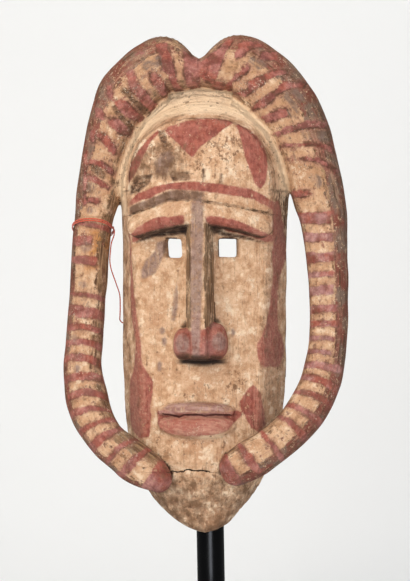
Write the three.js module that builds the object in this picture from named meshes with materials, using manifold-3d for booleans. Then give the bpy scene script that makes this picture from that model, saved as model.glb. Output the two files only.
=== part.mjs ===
import * as THREE from "three";
import { mergeVertices } from "three/addons/utils/BufferGeometryUtils.js";
import Module from "manifold-3d";

// A horned face mask carved from one block of wood, on its display stand.
// The face is a deep, narrow box, hollow behind, with a domed forehead. Two thick horns rise
// from a notch at the top, sweep down beside the face, clear of it, and turn in so that their
// blunt tips lie on the chin. A cotton thread is wound on one horn and tied to the face's edge.
// A black steel rod on a square plate passes behind the chin and ends under the forehead.
//
// Millimetres, +Z up. The mask looks along -Y, and "right" is the viewer's right, +X.
// The part's origin is the centre of the plate's underside.
// The mask is worked out in its own frame: z = 0 at the chin's tip, y = 0 at the flat back
// edge of the face with the front at negative y, and x = 0 in the middle of the face.

const wasm = await Module();
wasm.setup();

// Stand
const ROD_RADIUS = 14.3;
const ROD_SIDES = 24;
const ROD_TOP_IN_MASK = 431.2; // its domed top, just under the hollow's ceiling
const PLATE_SIDE = 180;
const PLATE_THICKNESS = 10;
const PLATE_CORNER = 6;
const PLATE_EDGE = 1.5;
const CHIN_HEIGHT = 135; // from the floor to the chin's tip
const JOINT_GAP = 0.3; // between pieces that touch
const SAME_POINT = 1e-3; // points closer than this are one

// How the mask sits on the rod: it leans a little to its right, seen from the front.
const MASK_LEAN = THREE.MathUtils.degToRad(1);
const ROD_IN_MASK = new THREE.Vector2(7.8, -18); // the rod's x and y in the mask's frame, at z = 0

// Face
const WALL = 12; // thickness of its sides and its front
const CROWN_EXTRA = 5; // more thickness at the top, under the horns
const SPINE_LOW = 80; // the face's middle line, towards which its rings shrink
const SPINE_HIGH = 355;
const JAW_HEIGHT = 150; // below this the back edge comes forward towards the chin
const JAW_FORWARD = 40;
const JAW_POWER = 1.3;
const CHIN_OFFSET = 6; // the chin's tip is off centre
const CHIN_OFFSET_HEIGHT = 36;
const COVE = 4; // depth of the hollowed band between the forehead and the horns
const COVE_START = 50; // the band deepens over this height above the arch's foot

// A smooth curve through stations of [place, value].
function through(stations) {
  const slope = stations.map((_, i) => {
    const [a, b] = [stations[Math.max(i - 1, 0)], stations[Math.min(i + 1, stations.length - 1)]];
    return (b[1] - a[1]) / (b[0] - a[0]);
  });
  return (place) => {
    const last = stations.length - 2;
    let i = 0;
    while (i < last && place > stations[i + 1][0]) i += 1;
    const [x0, v0] = stations[i];
    const [x1, v1] = stations[i + 1];
    const t = THREE.MathUtils.clamp((place - x0) / (x1 - x0), 0, 1);
    const h = x1 - x0;
    return (
      v0 * (1 + 2 * t) * (1 - t) ** 2 +
      v1 * t * t * (3 - 2 * t) +
      h * t * (1 - t) * (slope[i] * (1 - t) - slope[i + 1] * t)
    );
  };
}

// The face's outline at its flat back edge, and at the front edge where the sides meet the
// front. halfWidth is by height, up to the arch, which is half of a superellipse.
const BACK_OUTLINE = {
  low: 0,
  halfWidth: through([
    [0, 0], [1.5, 8], [6, 20], [12, 29], [24, 42], [36, 52], [48, 60], [61, 66],
    [95, 79.5], [130, 85], [172, 87], [240, 88], [300, 87.5], [355, 90],
  ]),
  archWidth: 90,
  archHeight: 120,
  power: 2.2,
};
const FRONT_OUTLINE = {
  low: 3,
  halfWidth: through([
    [3, 0], [4.5, 6], [8, 14], [14, 22], [24, 31], [43, 45], [61, 53],
    [95, 60], [130, 63], [160, 64.5], [220, 67], [300, 71.5], [355, 74.5],
  ]),
  archWidth: 74.5,
  archHeight: 75.5,
  power: 2.5,
};

// Depth of the front at its edge and along its middle, by height.
const CHEEK_EDGE = through([[0, 48], [61, 47], [95, 48], [160, 46], [230, 43], [300, 42]]);
const CHEEK_MIDDLE = through([[0, 53], [43, 62], [67, 65], [100, 65], [160, 60], [230, 57], [300, 55]]);
const FOREHEAD_EDGE = 53;
const FOREHEAD_MIDDLE = 73;
const DOME_POWER = 2.2;

// The brows: height of their middle line by distance from the nose's middle.
const BROW_START = 11;
const BROW_REACH = 72;
const BROW_TOP = 330;
const BROW_DROP = 16.5;
const BROW_POWER = 1.6;
const BROW_STEP = 16; // the forehead turns into the cheeks over this height, under the brow
const INNER_STEP = 70; // and over this height inside the hollow
const BROW_SHAPE = { steps: 12, sides: 12, power: 2.2 };
const BROW_PLACES = [BROW_START, 24, 38, 52, 64]; // distances of the bar's stations from the nose
const BROW_HALF_HEIGHT = through([[BROW_START, 11.5], [BROW_REACH, 10]]);
const BROW_HALF_DEPTH = through([[BROW_START, 16], [BROW_REACH, 13]]);
const BROW_DEPTH = through([[BROW_START, 63], [40, 61], [BROW_REACH, 50]]);
const ROWS_BEND = [250, 297]; // the face's rows of points begin to bend with the brows, and do
const ROWS_STRAIGHTEN = [331, 355]; // and above the brows they straighten again

// Nose: [z, middle x, half width of the ridge, half width at the cheeks, depth of the ridge].
const NOSE = [
  [356, 0, 5, 8, 69], [344, 0.5, 6.8, 12, 77.5], [322, 0.6, 7, 16, 82], [300, 0.8, 7, 18, 81],
  [240, 1.4, 6.8, 18, 84], [196, 2, 6.8, 18, 88], [188, 2, 6.8, 18, 88], [182, 2, 6, 16, 76],
];
const NOSE_ROOT = 46;
const RIDGE_EDGE = 2.5; // its long edges are rounded by this much in depth
const RIDGE_FLANK = 1.5; // and are this much wider below the rounding
const RIDGE_TOP = 0.6; // share of the ridge's half width that is flat
const NOSE_CORE = 8; // the ends close on a point this far in front of the root

const NOSTRILS = [
  { x: -15.5, z: 196, halfWidth: 11.5, up: 17, down: 13 },
  { x: 18.5, z: 197, halfWidth: 12, up: 22, down: 14 },
];
const NOSTRIL_DEPTH = 56; // of its middle
const NOSTRIL_REACH = 23; // half of its depth
const NOSTRIL_POWER = 2.7;

// Lips, from left to right: [x, y, z, half height, half depth].
const UPPER_LIP = [
  [-37, -58, 128, 5, 9], [-22, -61, 130, 6, 13], [-2, -62, 130.5, 6.3, 14],
  [18, -61, 130, 6, 13], [32, -58, 128.5, 5, 9],
];
const LOWER_LIP = [
  [-36, -58, 114, 7.5, 9], [-22, -61, 112, 10.5, 13], [-2, -62, 111.5, 11.5, 15],
  [18, -61, 112, 10.5, 13], [31, -58, 114, 7.5, 9],
];
const LIP_SHAPE = { steps: 14, sides: 12, power: 2.6 };

// Eye holes, square, close to the nose. Their outer side opens towards the front:
// [side by the nose, outer side behind, outer side in front].
const EYES = [[-18.8, -32, -41], [18.5, 37, 44]];
const EYE_LOW = 286;
const EYE_HIGH = 305.5;
const EYE_BEHIND = -20; // y of the hole's end in the hollow
const EYE_FLOOR = -40; // y where its outer side begins to open
const EYE_FRONT = -57; // y where it is fully open
const EYE_PAST = -87; // y past the front, so that the cut is open

// Horns: [x, y, z, half width, half depth], from the notch to the tip.
const LEFT_HORN = [
  [13, -18, 471, 10, 12], [4, -18, 473, 14.5, 19], [-15, -18, 479.5, 19.5, 24],
  [-39, -18, 486.5, 31, 25], [-53, -18, 481, 31.5, 26], [-66, -18, 471.5, 31, 26],
  [-80, -18, 456, 30.5, 26], [-91, -18, 436, 27, 25.5], [-98, -18, 412.5, 25, 25],
  [-105, -18, 385.5, 23, 23], [-109, -18, 356, 23, 22], [-114.5, -19, 328, 20, 21],
  [-118, -21, 292, 19.3, 19.5], [-119.5, -24, 261, 19.2, 19], [-123, -32, 198, 19.2, 19],
  [-124, -38, 172, 19.6, 19], [-118.5, -46, 141.5, 22, 19], [-111, -53, 121.5, 21, 19],
  [-96.7, -60, 99.3, 19.5, 18], [-78, -64, 84.3, 20.5, 17], [-63.5, -66, 73.2, 21, 16],
  [-48.5, -67, 64, 18.5, 15], [-41, -67, 58.5, 15.5, 15],
];
const RIGHT_HORN = [
  [-18, -18, 471, 10, 12], [-10, -18, 473, 14.5, 19], [8, -18, 479.5, 19.5, 24],
  [32, -18, 487, 30.5, 25], [44, -18, 484, 33, 26], [57, -18, 475, 33.2, 26],
  [69, -18, 464, 34, 26], [82, -18, 449, 33, 26], [93, -18, 435, 31.5, 25.5],
  [103, -18, 415, 30, 25], [111, -18, 390, 28.4, 24], [121, -18, 348, 27.2, 22],
  [126.5, -19, 323, 24.3, 21], [131, -24, 268, 21, 20], [131.5, -33, 206, 19.8, 19],
  [126.5, -40, 166, 20.6, 19], [119, -46, 145, 20.8, 19], [108.8, -52, 126.6, 20.9, 18.5],
  [93.6, -59, 107.8, 19.8, 18], [72.8, -64, 90.6, 19.8, 17], [50, -67, 76.5, 20, 16],
  [38, -68, 69, 18.5, 16],
];
const HORN_SHAPE = { steps: 44, sides: 14, power: 2.4, domed: [false, true] };

// The thread: two turns round the left horn, a straight run to the face's edge, down along it
// and round it into the hollow, where a knot holds it.
const THREAD_RADIUS = 0.7;
const THREAD_CLEARANCE = 1.4; // from the wood to the thread's middle
const THREAD_TURNS = 2;
const THREAD_PITCH = 2;
const THREAD_HEIGHT = 318.5;
const THREAD_TILT = 9.5; // the turns rise towards the front
const POINTS_A_TURN = 20;
const THREAD_STEPS = 70;
const THREAD_SIDES = 8;
const KNOT_RADIUS = 1.8;
const THREAD_MIDDLE = new THREE.Vector2(-115.5, -19.7); // the horn's middle, where the turns are
const THREAD_HALF_SIZE = new THREE.Vector2(20, 21); // half its width and depth there
const THREAD_RUN = [
  [-93.1, -19, 315], [-93.8, -18, 309], [-96, -20, 302], [-97, -21, 293], [-97.6, -21, 283.5],
  [-96.6, -19.4, 275], [-92.2, -11.5, 259], [-89.5, -3, 247], [-89.1, -2.6, 238], [-89, -3.4, 231],
  [-89.4, -2, 225], [-89.8, 0.8, 221], [-88, 3, 218.2], [-83.8, 3.4, 217], [-79, 3.2, 216.6],
  [-75.4, 1.4, 216.4], [-72.6, -2.2, 216.4], [-70, -5.4, 216.4], [-67.8, -8, 216.4],
];

const browHeight = (x) => BROW_TOP - BROW_DROP * (Math.abs(x) / BROW_REACH) ** BROW_POWER;
const chinShift = (z) => CHIN_OFFSET * Math.max(0, 1 - z / CHIN_OFFSET_HEIGHT) ** 2;
const backEdge = (z) => -JAW_FORWARD * Math.max(0, 1 - z / JAW_HEIGHT) ** JAW_POWER;

// Heights of an outline's points up its side, given at the back edge: close together at the
// chin and at the brows. Above them the arch has points at equal angles.
const SIDE_HEIGHTS = [
  0, 1.5, 5, 10, 17, 26, 37, 50, 65, 82, 102, 126, 155, 190, 225, 260, 285, 297, 305, 313, 321, 331,
  343, 355,
];
const ARCH_HEIGHT = SIDE_HEIGHTS.at(-1);
const ARCH_STEPS = 12;

// The points of a face's outline, from the chin up the right side, over the arch and down.
function outlinePoints({ low, halfWidth, archWidth, archHeight, power }) {
  const heights = SIDE_HEIGHTS.map((z) => Math.max(low, z + low * (1 - z / ARCH_HEIGHT)));
  const side = heights.map((z) => new THREE.Vector3(Math.max(halfWidth(z), 0), 0, z));
  const arch = Array.from({ length: ARCH_STEPS }, (_, k) => {
    const angle = ((k + 1) / ARCH_STEPS) * (Math.PI / 2);
    const { x, y } = superellipse(angle, power);
    return new THREE.Vector3(x * archWidth, 0, ARCH_HEIGHT + y * archHeight);
  });
  const right = [...side, ...arch];
  const left = right.slice(1, -1).reverse().map((p) => new THREE.Vector3(-p.x, p.y, p.z));
  return [...right, ...left].map((p) => p.setX(p.x + chinShift(p.z)));
}

// The same outline, drawn in by a wall's thickness.
function insetOutline(outline, wall) {
  return {
    ...outline,
    low: outline.low + wall,
    halfWidth: (z) => outline.halfWidth(z) - wall,
    archWidth: outline.archWidth - wall,
    archHeight: outline.archHeight - wall - CROWN_EXTRA,
  };
}

// A point drawn in towards the face's middle line: share 1 keeps it, 0 puts it on the line.
// Rows of points near the brows bend with them.
function drawnIn(point, share) {
  const z = THREE.MathUtils.clamp(point.z, SPINE_LOW, SPINE_HIGH);
  const inner = new THREE.Vector3(0, point.y, z).lerp(point, share);
  const rising = THREE.MathUtils.smoothstep(point.z, ...ROWS_BEND);
  const falling = THREE.MathUtils.smoothstep(point.z, ...ROWS_STRAIGHTEN);
  const lift = browHeight(inner.x) - browHeight(point.x);
  return inner.setZ(inner.z + lift * rising * (1 - falling));
}

// How far the front stands before the back edge, without nose, brows and lips.
function frontDepth(point, share, browStep) {
  const dome = 1 - share ** DOME_POWER;
  const cheek = THREE.MathUtils.lerp(CHEEK_EDGE(point.z), CHEEK_MIDDLE(point.z), dome);
  const forehead = THREE.MathUtils.lerp(FOREHEAD_EDGE, FOREHEAD_MIDDLE, dome);
  const brow = browHeight(point.x);
  const above = THREE.MathUtils.smoothstep(point.z, brow - browStep / 2, brow + browStep / 2);
  return THREE.MathUtils.lerp(cheek, forehead, above);
}

// A solid from rings of points: each ring is joined to the next, and the first and the last
// have shrunk to a point or a line, so that the surface is closed.
function solidFromRings(rings) {
  const count = rings[0].length;
  const positions = rings.flat().flatMap((p) => [p.x, p.y, p.z]);
  const faces = [];
  for (let k = 0; k + 1 < rings.length; k += 1) {
    for (let i = 0; i < count; i += 1) {
      const [a, b] = [k * count + i, k * count + ((i + 1) % count)];
      faces.push(a, b, b + count, a, b + count, a + count);
    }
  }
  const raw = new THREE.BufferGeometry();
  raw.setAttribute("position", new THREE.Float32BufferAttribute(positions, 3));
  raw.setIndex(faces);
  return solidFromGeometry(raw);
}

// A closed three.js geometry as a manifold-3d solid, with its shared points merged.
function solidFromGeometry(geometry) {
  const bare = geometry.clone();
  bare.deleteAttribute("normal");
  bare.deleteAttribute("uv");
  const merged = mergeVertices(bare, SAME_POINT);
  const index = merged.index.array;
  const triVerts = [];
  for (let i = 0; i < index.length; i += 3) {
    const [a, b, c] = [index[i], index[i + 1], index[i + 2]];
    if (a !== b && b !== c && c !== a) triVerts.push(a, b, c);
  }
  const mesh = new wasm.Mesh({
    numProp: 3,
    vertProperties: merged.attributes.position.array,
    triVerts: new Uint32Array(triVerts),
  });
  return new wasm.Manifold(mesh);
}

function geometryFromSolid(solid) {
  const { vertProperties, triVerts } = solid.getMesh();
  const geometry = new THREE.BufferGeometry();
  geometry.setAttribute("position", new THREE.BufferAttribute(vertProperties, 3));
  geometry.setIndex(new THREE.BufferAttribute(triVerts, 1));
  geometry.computeVertexNormals();
  return geometry;
}

// The rings of the face lie at these shares: of the way out over the back, then forward along
// the side, then in over the front.
const BACK_SHARES = [0, 0.6, 1];
const SIDE_SHARES = [0.3, 0.62, 0.9];
const FRONT_SHARES = [0.95, 0.84, 0.7, 0.56, 0.42, 0.29, 0.17, 0.07, 0];

function faceBlock() {
  const back = outlinePoints(BACK_OUTLINE);
  const front = outlinePoints(FRONT_OUTLINE);
  const onBack = (share) => back.map((p) => drawnIn(p, share)).map((p) => p.setY(backEdge(p.z)));
  const onFront = (share) =>
    front.map((p) => drawnIn(p, share)).map((p) => p.setY(-frontDepth(p, share, BROW_STEP)));
  const [backRim, frontRim] = [onBack(1), onFront(1)];
  const archMiddle = new THREE.Vector3(0, 0, ARCH_HEIGHT);
  const onSide = (share) =>
    backRim.map((p, i) => {
      const point = p.clone().lerp(frontRim[i], share);
      const inward = archMiddle.clone().setY(point.y).sub(point).normalize();
      const overArch = THREE.MathUtils.smoothstep(point.z, ARCH_HEIGHT, ARCH_HEIGHT + COVE_START);
      return point.addScaledVector(inward, COVE * Math.sin(Math.PI * share) * overArch);
    });
  return solidFromRings([
    ...BACK_SHARES.map(onBack),
    ...SIDE_SHARES.map(onSide),
    ...FRONT_SHARES.map(onFront),
  ]);
}

// The space behind the face. It reaches back past the edge, so that cutting it out opens it.
function faceHollow() {
  const BEHIND = 40;
  const back = outlinePoints(insetOutline(BACK_OUTLINE, WALL));
  const front = outlinePoints(insetOutline(FRONT_OUTLINE, WALL));
  const floor = (share) =>
    front.map((p) => drawnIn(p, share)).map((p) => p.setY(WALL - frontDepth(p, share, INNER_STEP)));
  const edge = floor(1);
  const side = (share) => back.map((p, i) => p.clone().lerp(edge[i], share));
  const CORNER = 0.92; // the corner between side and floor is cut off at this share of both
  return solidFromRings([
    ...[0, 1].map((share) => back.map((p) => drawnIn(p, share).setY(BEHIND))),
    ...[0, 0.5, CORNER].map(side),
    ...[CORNER, 0.7, 0.45, 0.2, 0].map(floor),
  ]);
}

// A rounded bar along stations of [x, y, z, half width, half depth]. The half width lies across
// the bar as seen from the front, and the half depth from front to back. Round ends are domed.
function bar(stations, { steps, sides, power, domed = [true, true] }) {
  const path = new THREE.CatmullRomCurve3(stations.map(([x, y, z]) => new THREE.Vector3(x, y, z)));
  const size = new THREE.CatmullRomCurve3(stations.map(([, , , w, d]) => new THREE.Vector3(w, d, 0)));
  const ring = (t, scale, forward) => {
    const along = path.getTangent(t);
    const across = new THREE.Vector3(0, 1, 0).cross(along).normalize();
    const outward = along.clone().cross(across);
    const [halfWidth, halfDepth] = size.getPoint(t).toArray();
    const centre = path.getPoint(t).addScaledVector(along, forward * Math.min(halfWidth, halfDepth));
    return Array.from({ length: sides }, (_, i) => {
      const { x, y } = superellipse((2 * Math.PI * i) / sides, power);
      return centre
        .clone()
        .addScaledVector(across, x * halfWidth * scale)
        .addScaledVector(outward, y * halfDepth * scale);
    });
  };
  const DOME = [90, 60, 30].map((degrees) => THREE.MathUtils.degToRad(degrees));
  const domeRings = (t, sign) => DOME.map((a) => ring(t, Math.cos(a), sign * Math.sin(a)));
  const rings = domed[0] ? domeRings(0, -1) : [ring(0, 0, 0)];
  for (let k = 0; k <= steps; k += 1) rings.push(ring(k / steps, 1, 0));
  rings.push(...(domed[1] ? domeRings(1, 1).reverse() : [ring(1, 0, 0)]));
  return solidFromRings(rings);
}

function superellipse(angle, power) {
  const along = (v) => Math.sign(v) * Math.abs(v) ** (2 / power);
  return new THREE.Vector2(along(Math.cos(angle)), along(Math.sin(angle)));
}

// The nose: a wedge with a flat ridge.
function nose() {
  const section = ([z, middle, ridge, base, depth]) => {
    const flank = depth - RIDGE_EDGE;
    const halves = [[base, NOSE_ROOT], [ridge + RIDGE_FLANK, flank], [ridge * RIDGE_TOP, depth]];
    const left = halves.map(([x, y]) => new THREE.Vector3(middle - x, -y, z));
    const right = halves.map(([x, y]) => new THREE.Vector3(middle + x, -y, z)).reverse();
    return [...left, ...right];
  };
  const middle = ([z, x]) => Array(6).fill(new THREE.Vector3(x, -NOSE_ROOT - NOSE_CORE, z));
  return solidFromRings([middle(NOSE.at(-1)), ...NOSE.toReversed().map(section), middle(NOSE[0])]);
}

// A nostril wing: a rounded block that rises further above its middle than it drops below.
function nostril({ x, z, halfWidth, up, down }) {
  const power = NOSTRIL_POWER;
  const ball = new THREE.SphereGeometry(1, 16, 12);
  const position = ball.attributes.position;
  for (let i = 0; i < position.count; i += 1) {
    const p = new THREE.Vector3().fromBufferAttribute(position, i);
    const size = p.toArray().reduce((sum, v) => sum + Math.abs(v) ** power, 0) ** (1 / power);
    p.divideScalar(size);
    const rise = p.z > 0 ? up : down;
    position.setXYZ(i, x + p.x * halfWidth, -NOSTRIL_DEPTH + p.y * NOSTRIL_REACH, z + p.z * rise);
  }
  return solidFromGeometry(ball);
}

// Each brow runs from beside the nose out to the face's edge.
function brow(side) {
  const stations = BROW_PLACES.map((x) => [
    side * x, -BROW_DEPTH(x), browHeight(x), BROW_HALF_HEIGHT(x), BROW_HALF_DEPTH(x),
  ]);
  return bar(stations, BROW_SHAPE);
}

// A hole's solid, from the hollow out past the front.
function eyeHole([nearNose, outerBehind, outerInFront]) {
  const corners = (outer, y) =>
    [[nearNose, EYE_LOW], [outer, EYE_LOW], [outer, EYE_HIGH], [nearNose, EYE_HIGH]].map(
      ([x, z]) => new THREE.Vector3(x, y, z),
    );
  const middle = (y) => corners(nearNose, y).map((p) => p.setZ(EYE_LOW));
  const rings = [
    middle(EYE_BEHIND), corners(outerBehind, EYE_BEHIND), corners(outerBehind, EYE_FLOOR),
    corners(outerInFront, EYE_FRONT), corners(outerInFront, EYE_PAST), middle(EYE_PAST),
  ];
  return solidFromRings(nearNose < 0 ? rings.reverse() : rings);
}

function maskSolid() {
  const hornSolids = [LEFT_HORN, RIGHT_HORN].map((stations) => bar(stations, HORN_SHAPE));
  const lips = [UPPER_LIP, LOWER_LIP].map((stations) => bar(stations, LIP_SHAPE));
  const raised = [nose(), ...NOSTRILS.map(nostril), brow(-1), brow(1), ...lips];
  const hollow = faceHollow();
  let face = faceBlock().add(hornSolids[0]).add(hornSolids[1]);
  for (const form of raised) face = face.add(form);
  face = face.subtract(hollow);
  for (const eye of EYES) face = face.subtract(eyeHole(eye));
  return face;
}

// The thread's route: its turns, then the run by hand.
function threadPoints() {
  const reach = THREAD_HALF_SIZE.clone().addScalar(THREAD_CLEARANCE);
  const points = [];
  for (let k = 0; k < THREAD_TURNS * POINTS_A_TURN; k += 1) {
    const turned = k / POINTS_A_TURN;
    const angle = -2 * Math.PI * turned; // from the side by the face, round the back
    const around = superellipse(angle, HORN_SHAPE.power);
    const height = THREAD_HEIGHT + THREAD_TILT * Math.sin(angle);
    points.push(
      new THREE.Vector3(
        THREAD_MIDDLE.x + around.x * reach.x,
        THREAD_MIDDLE.y - around.y * reach.y,
        height - THREAD_PITCH * turned,
      ),
    );
  }
  return [...points, ...THREAD_RUN.map((p) => new THREE.Vector3(...p))];
}

function threadGeometry() {
  const path = new THREE.CatmullRomCurve3(threadPoints());
  const section = new THREE.Shape();
  section.absarc(0, 0, THREAD_RADIUS, 0, 2 * Math.PI);
  return new THREE.ExtrudeGeometry(section, {
    steps: THREAD_STEPS,
    curveSegments: THREAD_SIDES / 2,
    extrudePath: path,
  });
}

// The knot at the thread's end.
function knotSolid() {
  const [before, end] = THREAD_RUN.slice(-2).map((p) => new THREE.Vector3(...p));
  const onward = end.clone().sub(before).normalize();
  const ball = new THREE.SphereGeometry(KNOT_RADIUS, 8, 6);
  ball.translate(...end.addScaledVector(onward, KNOT_RADIUS + JOINT_GAP).toArray());
  return solidFromGeometry(ball);
}

// The rod: a straight bar with a domed top.
function rodSolid() {
  const foot = PLATE_THICKNESS + JOINT_GAP;
  const domeMiddle = CHIN_HEIGHT + ROD_TOP_IN_MASK - ROD_RADIUS;
  const profile = [new THREE.Vector2(0, foot), new THREE.Vector2(ROD_RADIUS, foot)];
  const DOME_STEPS = 5;
  for (let k = 0; k <= DOME_STEPS; k += 1) {
    const angle = ((k / DOME_STEPS) * Math.PI) / 2;
    const radius = k === DOME_STEPS ? 0 : ROD_RADIUS * Math.cos(angle);
    profile.push(new THREE.Vector2(radius, domeMiddle + ROD_RADIUS * Math.sin(angle)));
  }
  const lathe = new THREE.LatheGeometry(profile, ROD_SIDES);
  lathe.rotateX(Math.PI / 2);
  return solidFromGeometry(lathe);
}

// The plate: a square with rounded corners and a small bevel round its top.
function plateSolid() {
  const CORNER_STEPS = 4;
  const outline = (inset, z) => {
    const reach = PLATE_SIDE / 2 - PLATE_CORNER;
    const points = [];
    for (const corner of [0, 1, 2, 3]) {
      for (let k = 0; k <= CORNER_STEPS; k += 1) {
        const angle = ((corner + k / CORNER_STEPS) * Math.PI) / 2;
        const x = reach * Math.sign(Math.cos((corner + 0.5) * (Math.PI / 2)));
        const y = reach * Math.sign(Math.sin((corner + 0.5) * (Math.PI / 2)));
        const radius = PLATE_CORNER - inset;
        points.push(new THREE.Vector3(x + radius * Math.cos(angle), y + radius * Math.sin(angle), z));
      }
    }
    return points;
  };
  const middle = (z) => outline(0, z).map(() => new THREE.Vector3(0, 0, z));
  return solidFromRings([
    middle(0),
    outline(0, 0),
    outline(0, PLATE_THICKNESS - PLATE_EDGE),
    outline(PLATE_EDGE, PLATE_THICKNESS),
    middle(PLATE_THICKNESS),
  ]);
}

// Pieces and finishes
const finishes = {
  wood: new THREE.MeshStandardMaterial({ color: "#b98c66", roughness: 0.85, metalness: 0 }),
  steel: new THREE.MeshStandardMaterial({ color: "#0c0c0e", roughness: 0.35, metalness: 0 }),
  cotton: new THREE.MeshStandardMaterial({ color: "#c9502f", roughness: 0.9, metalness: 0 }),
};

function piece(name, solid, material) {
  const mesh = new THREE.Mesh(geometryFromSolid(solid), material);
  mesh.name = name;
  return mesh;
}

const maskGroup = new THREE.Group();
maskGroup.rotation.y = MASK_LEAN;
maskGroup.position.set(-ROD_IN_MASK.x, -ROD_IN_MASK.y, CHIN_HEIGHT);
maskGroup.add(piece("mask", maskSolid(), finishes.wood));
maskGroup.add(piece("thread", solidFromGeometry(threadGeometry()), finishes.cotton));
maskGroup.add(piece("thread_knot", knotSolid(), finishes.cotton));

const part = new THREE.Group();
part.add(maskGroup);
part.add(piece("rod", rodSolid(), finishes.steel));
part.add(piece("base_plate", plateSolid(), finishes.steel));

export default part;
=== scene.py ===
"""A horned face mask, carved from one block and painted, on its display stand.

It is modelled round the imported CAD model, in metres, +Z up, with the mask looking along -Y.
The mask is worked out in its own frame, in millimetres: x = 0 in the middle of the face,
y = 0 at its flat back edge with the front at negative y, z = 0 at the chin's tip.
"""

import math
from collections import namedtuple

import bmesh
import bpy
import numpy as np
from mathutils import Matrix, Vector


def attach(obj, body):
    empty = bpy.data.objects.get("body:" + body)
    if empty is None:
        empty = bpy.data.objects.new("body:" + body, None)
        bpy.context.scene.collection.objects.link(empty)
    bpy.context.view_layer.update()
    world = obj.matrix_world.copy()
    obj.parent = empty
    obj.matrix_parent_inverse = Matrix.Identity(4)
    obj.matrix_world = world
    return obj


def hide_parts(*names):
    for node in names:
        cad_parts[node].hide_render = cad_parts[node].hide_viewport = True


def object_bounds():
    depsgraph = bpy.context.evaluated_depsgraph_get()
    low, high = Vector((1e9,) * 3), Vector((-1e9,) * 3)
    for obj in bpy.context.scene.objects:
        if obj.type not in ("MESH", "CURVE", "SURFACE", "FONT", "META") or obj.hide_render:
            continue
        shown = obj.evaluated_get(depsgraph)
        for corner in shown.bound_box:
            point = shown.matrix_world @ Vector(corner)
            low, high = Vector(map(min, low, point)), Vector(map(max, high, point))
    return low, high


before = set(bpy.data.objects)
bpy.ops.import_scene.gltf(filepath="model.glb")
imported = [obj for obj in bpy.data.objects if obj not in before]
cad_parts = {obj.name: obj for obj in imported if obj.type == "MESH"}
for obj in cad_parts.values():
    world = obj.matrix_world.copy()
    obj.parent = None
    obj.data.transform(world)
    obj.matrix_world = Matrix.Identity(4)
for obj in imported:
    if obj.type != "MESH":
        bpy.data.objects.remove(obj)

cad_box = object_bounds()

bl_info = {
    "name": "Horned mask",
    "version": (1, 0, 0),
    "blender": (4, 5, 0),
    "location": "3D View > Sidebar > Horned mask",
    "description": "Makes a carved and painted horned mask with its thread, rod, plate and stage",
    "category": "Add Mesh",
}

MM = 0.001

# How the mask's own frame sits in the part's: it leans a little to its right.
MASK_LEAN = math.radians(1)
ROD_IN_MASK = (7.8, -18.0)
CHIN_HEIGHT = 135.0
MASK_TO_PART = (
    Matrix.Translation((-ROD_IN_MASK[0] * MM, -ROD_IN_MASK[1] * MM, CHIN_HEIGHT * MM))
    @ Matrix.Rotation(MASK_LEAN, 4, "Y")
    @ Matrix.Scale(MM, 4)
)

# Face: the same outlines and depths as the CAD solid's, [height, half width].
WALL = 12.0
CROWN_EXTRA = 5.0
SPINE_LOW, SPINE_HIGH = 80.0, 355.0
JAW_HEIGHT, JAW_FORWARD, JAW_POWER = 150.0, 40.0, 1.3
CHIN_OFFSET, CHIN_OFFSET_HEIGHT = 6.0, 36.0
COVE, COVE_START = 4.0, 50.0
RIM_SPREAD = 1.2  # how much further out than a place the depth of its side wall is taken
BACK_OUTLINE = {
    "low": 0.0,
    "half_width": [
        (0, 0), (1.5, 8), (6, 20), (12, 29), (24, 42), (36, 52), (48, 60), (61, 66),
        (95, 79.5), (130, 85), (172, 87), (240, 88), (300, 87.5), (355, 90),
    ],
    "arch": (90.0, 120.0, 2.2),
}
FRONT_OUTLINE = {
    "low": 3.0,
    "half_width": [
        (3, 0), (4.5, 6), (8, 14), (14, 22), (24, 31), (43, 45), (61, 53),
        (95, 60), (130, 63), (160, 64.5), (220, 67), (300, 71.5), (355, 74.5),
    ],
    "arch": (74.5, 75.5, 2.5),
}
CHEEK_EDGE = [(0, 48), (61, 47), (95, 48), (160, 46), (230, 43), (300, 42)]
CHEEK_MIDDLE = [(0, 53), (43, 62), (67, 65), (100, 65), (160, 60), (230, 57), (300, 55)]
FOREHEAD_EDGE, FOREHEAD_MIDDLE, DOME_POWER = 53.0, 73.0, 2.2

# Brows: the height of their middle line by distance from the nose's middle.
BROW_REACH, BROW_TOP, BROW_DROP, BROW_POWER = 72.0, 330.0, 16.5, 1.6
BROW_STEP, INNER_STEP = 16.0, 70.0
BROW_PLACES = (11, 24, 38, 52, 64)
BROW_HALF_HEIGHT = [(11, 11.5), (72, 10)]
BROW_HALF_DEPTH = [(11, 16), (72, 13)]
BROW_DEPTH = [(11, 63), (40, 61), (72, 50)]

# Nose: height, middle x, half width of the ridge, half width at the cheeks, depth of the ridge.
NOSE = [
    (179.5, 2, 6, 17, 78), (185, 2, 6.8, 18, 88), (196, 2, 6.8, 18, 88), (240, 1.4, 6.8, 18, 84),
    (300, 0.8, 7, 18, 81), (322, 0.6, 7, 16, 82), (344, 0.5, 6.8, 12, 77.5), (356, 0, 5, 8, 69),
]
NOSE_ROOT, RIDGE_EDGE, RIDGE_FLANK = 46.0, 2.5, 1.5
# Nostril wings: x, height, half width, reach up, reach down.
NOSTRILS = [(-14.5, 196, 12.5, 17, 16), (17.5, 197, 13, 22, 17)]
NOSTRIL_DEPTH, NOSTRIL_REACH, NOSTRIL_POWER = 56.0, 24.0, 2.4

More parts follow.
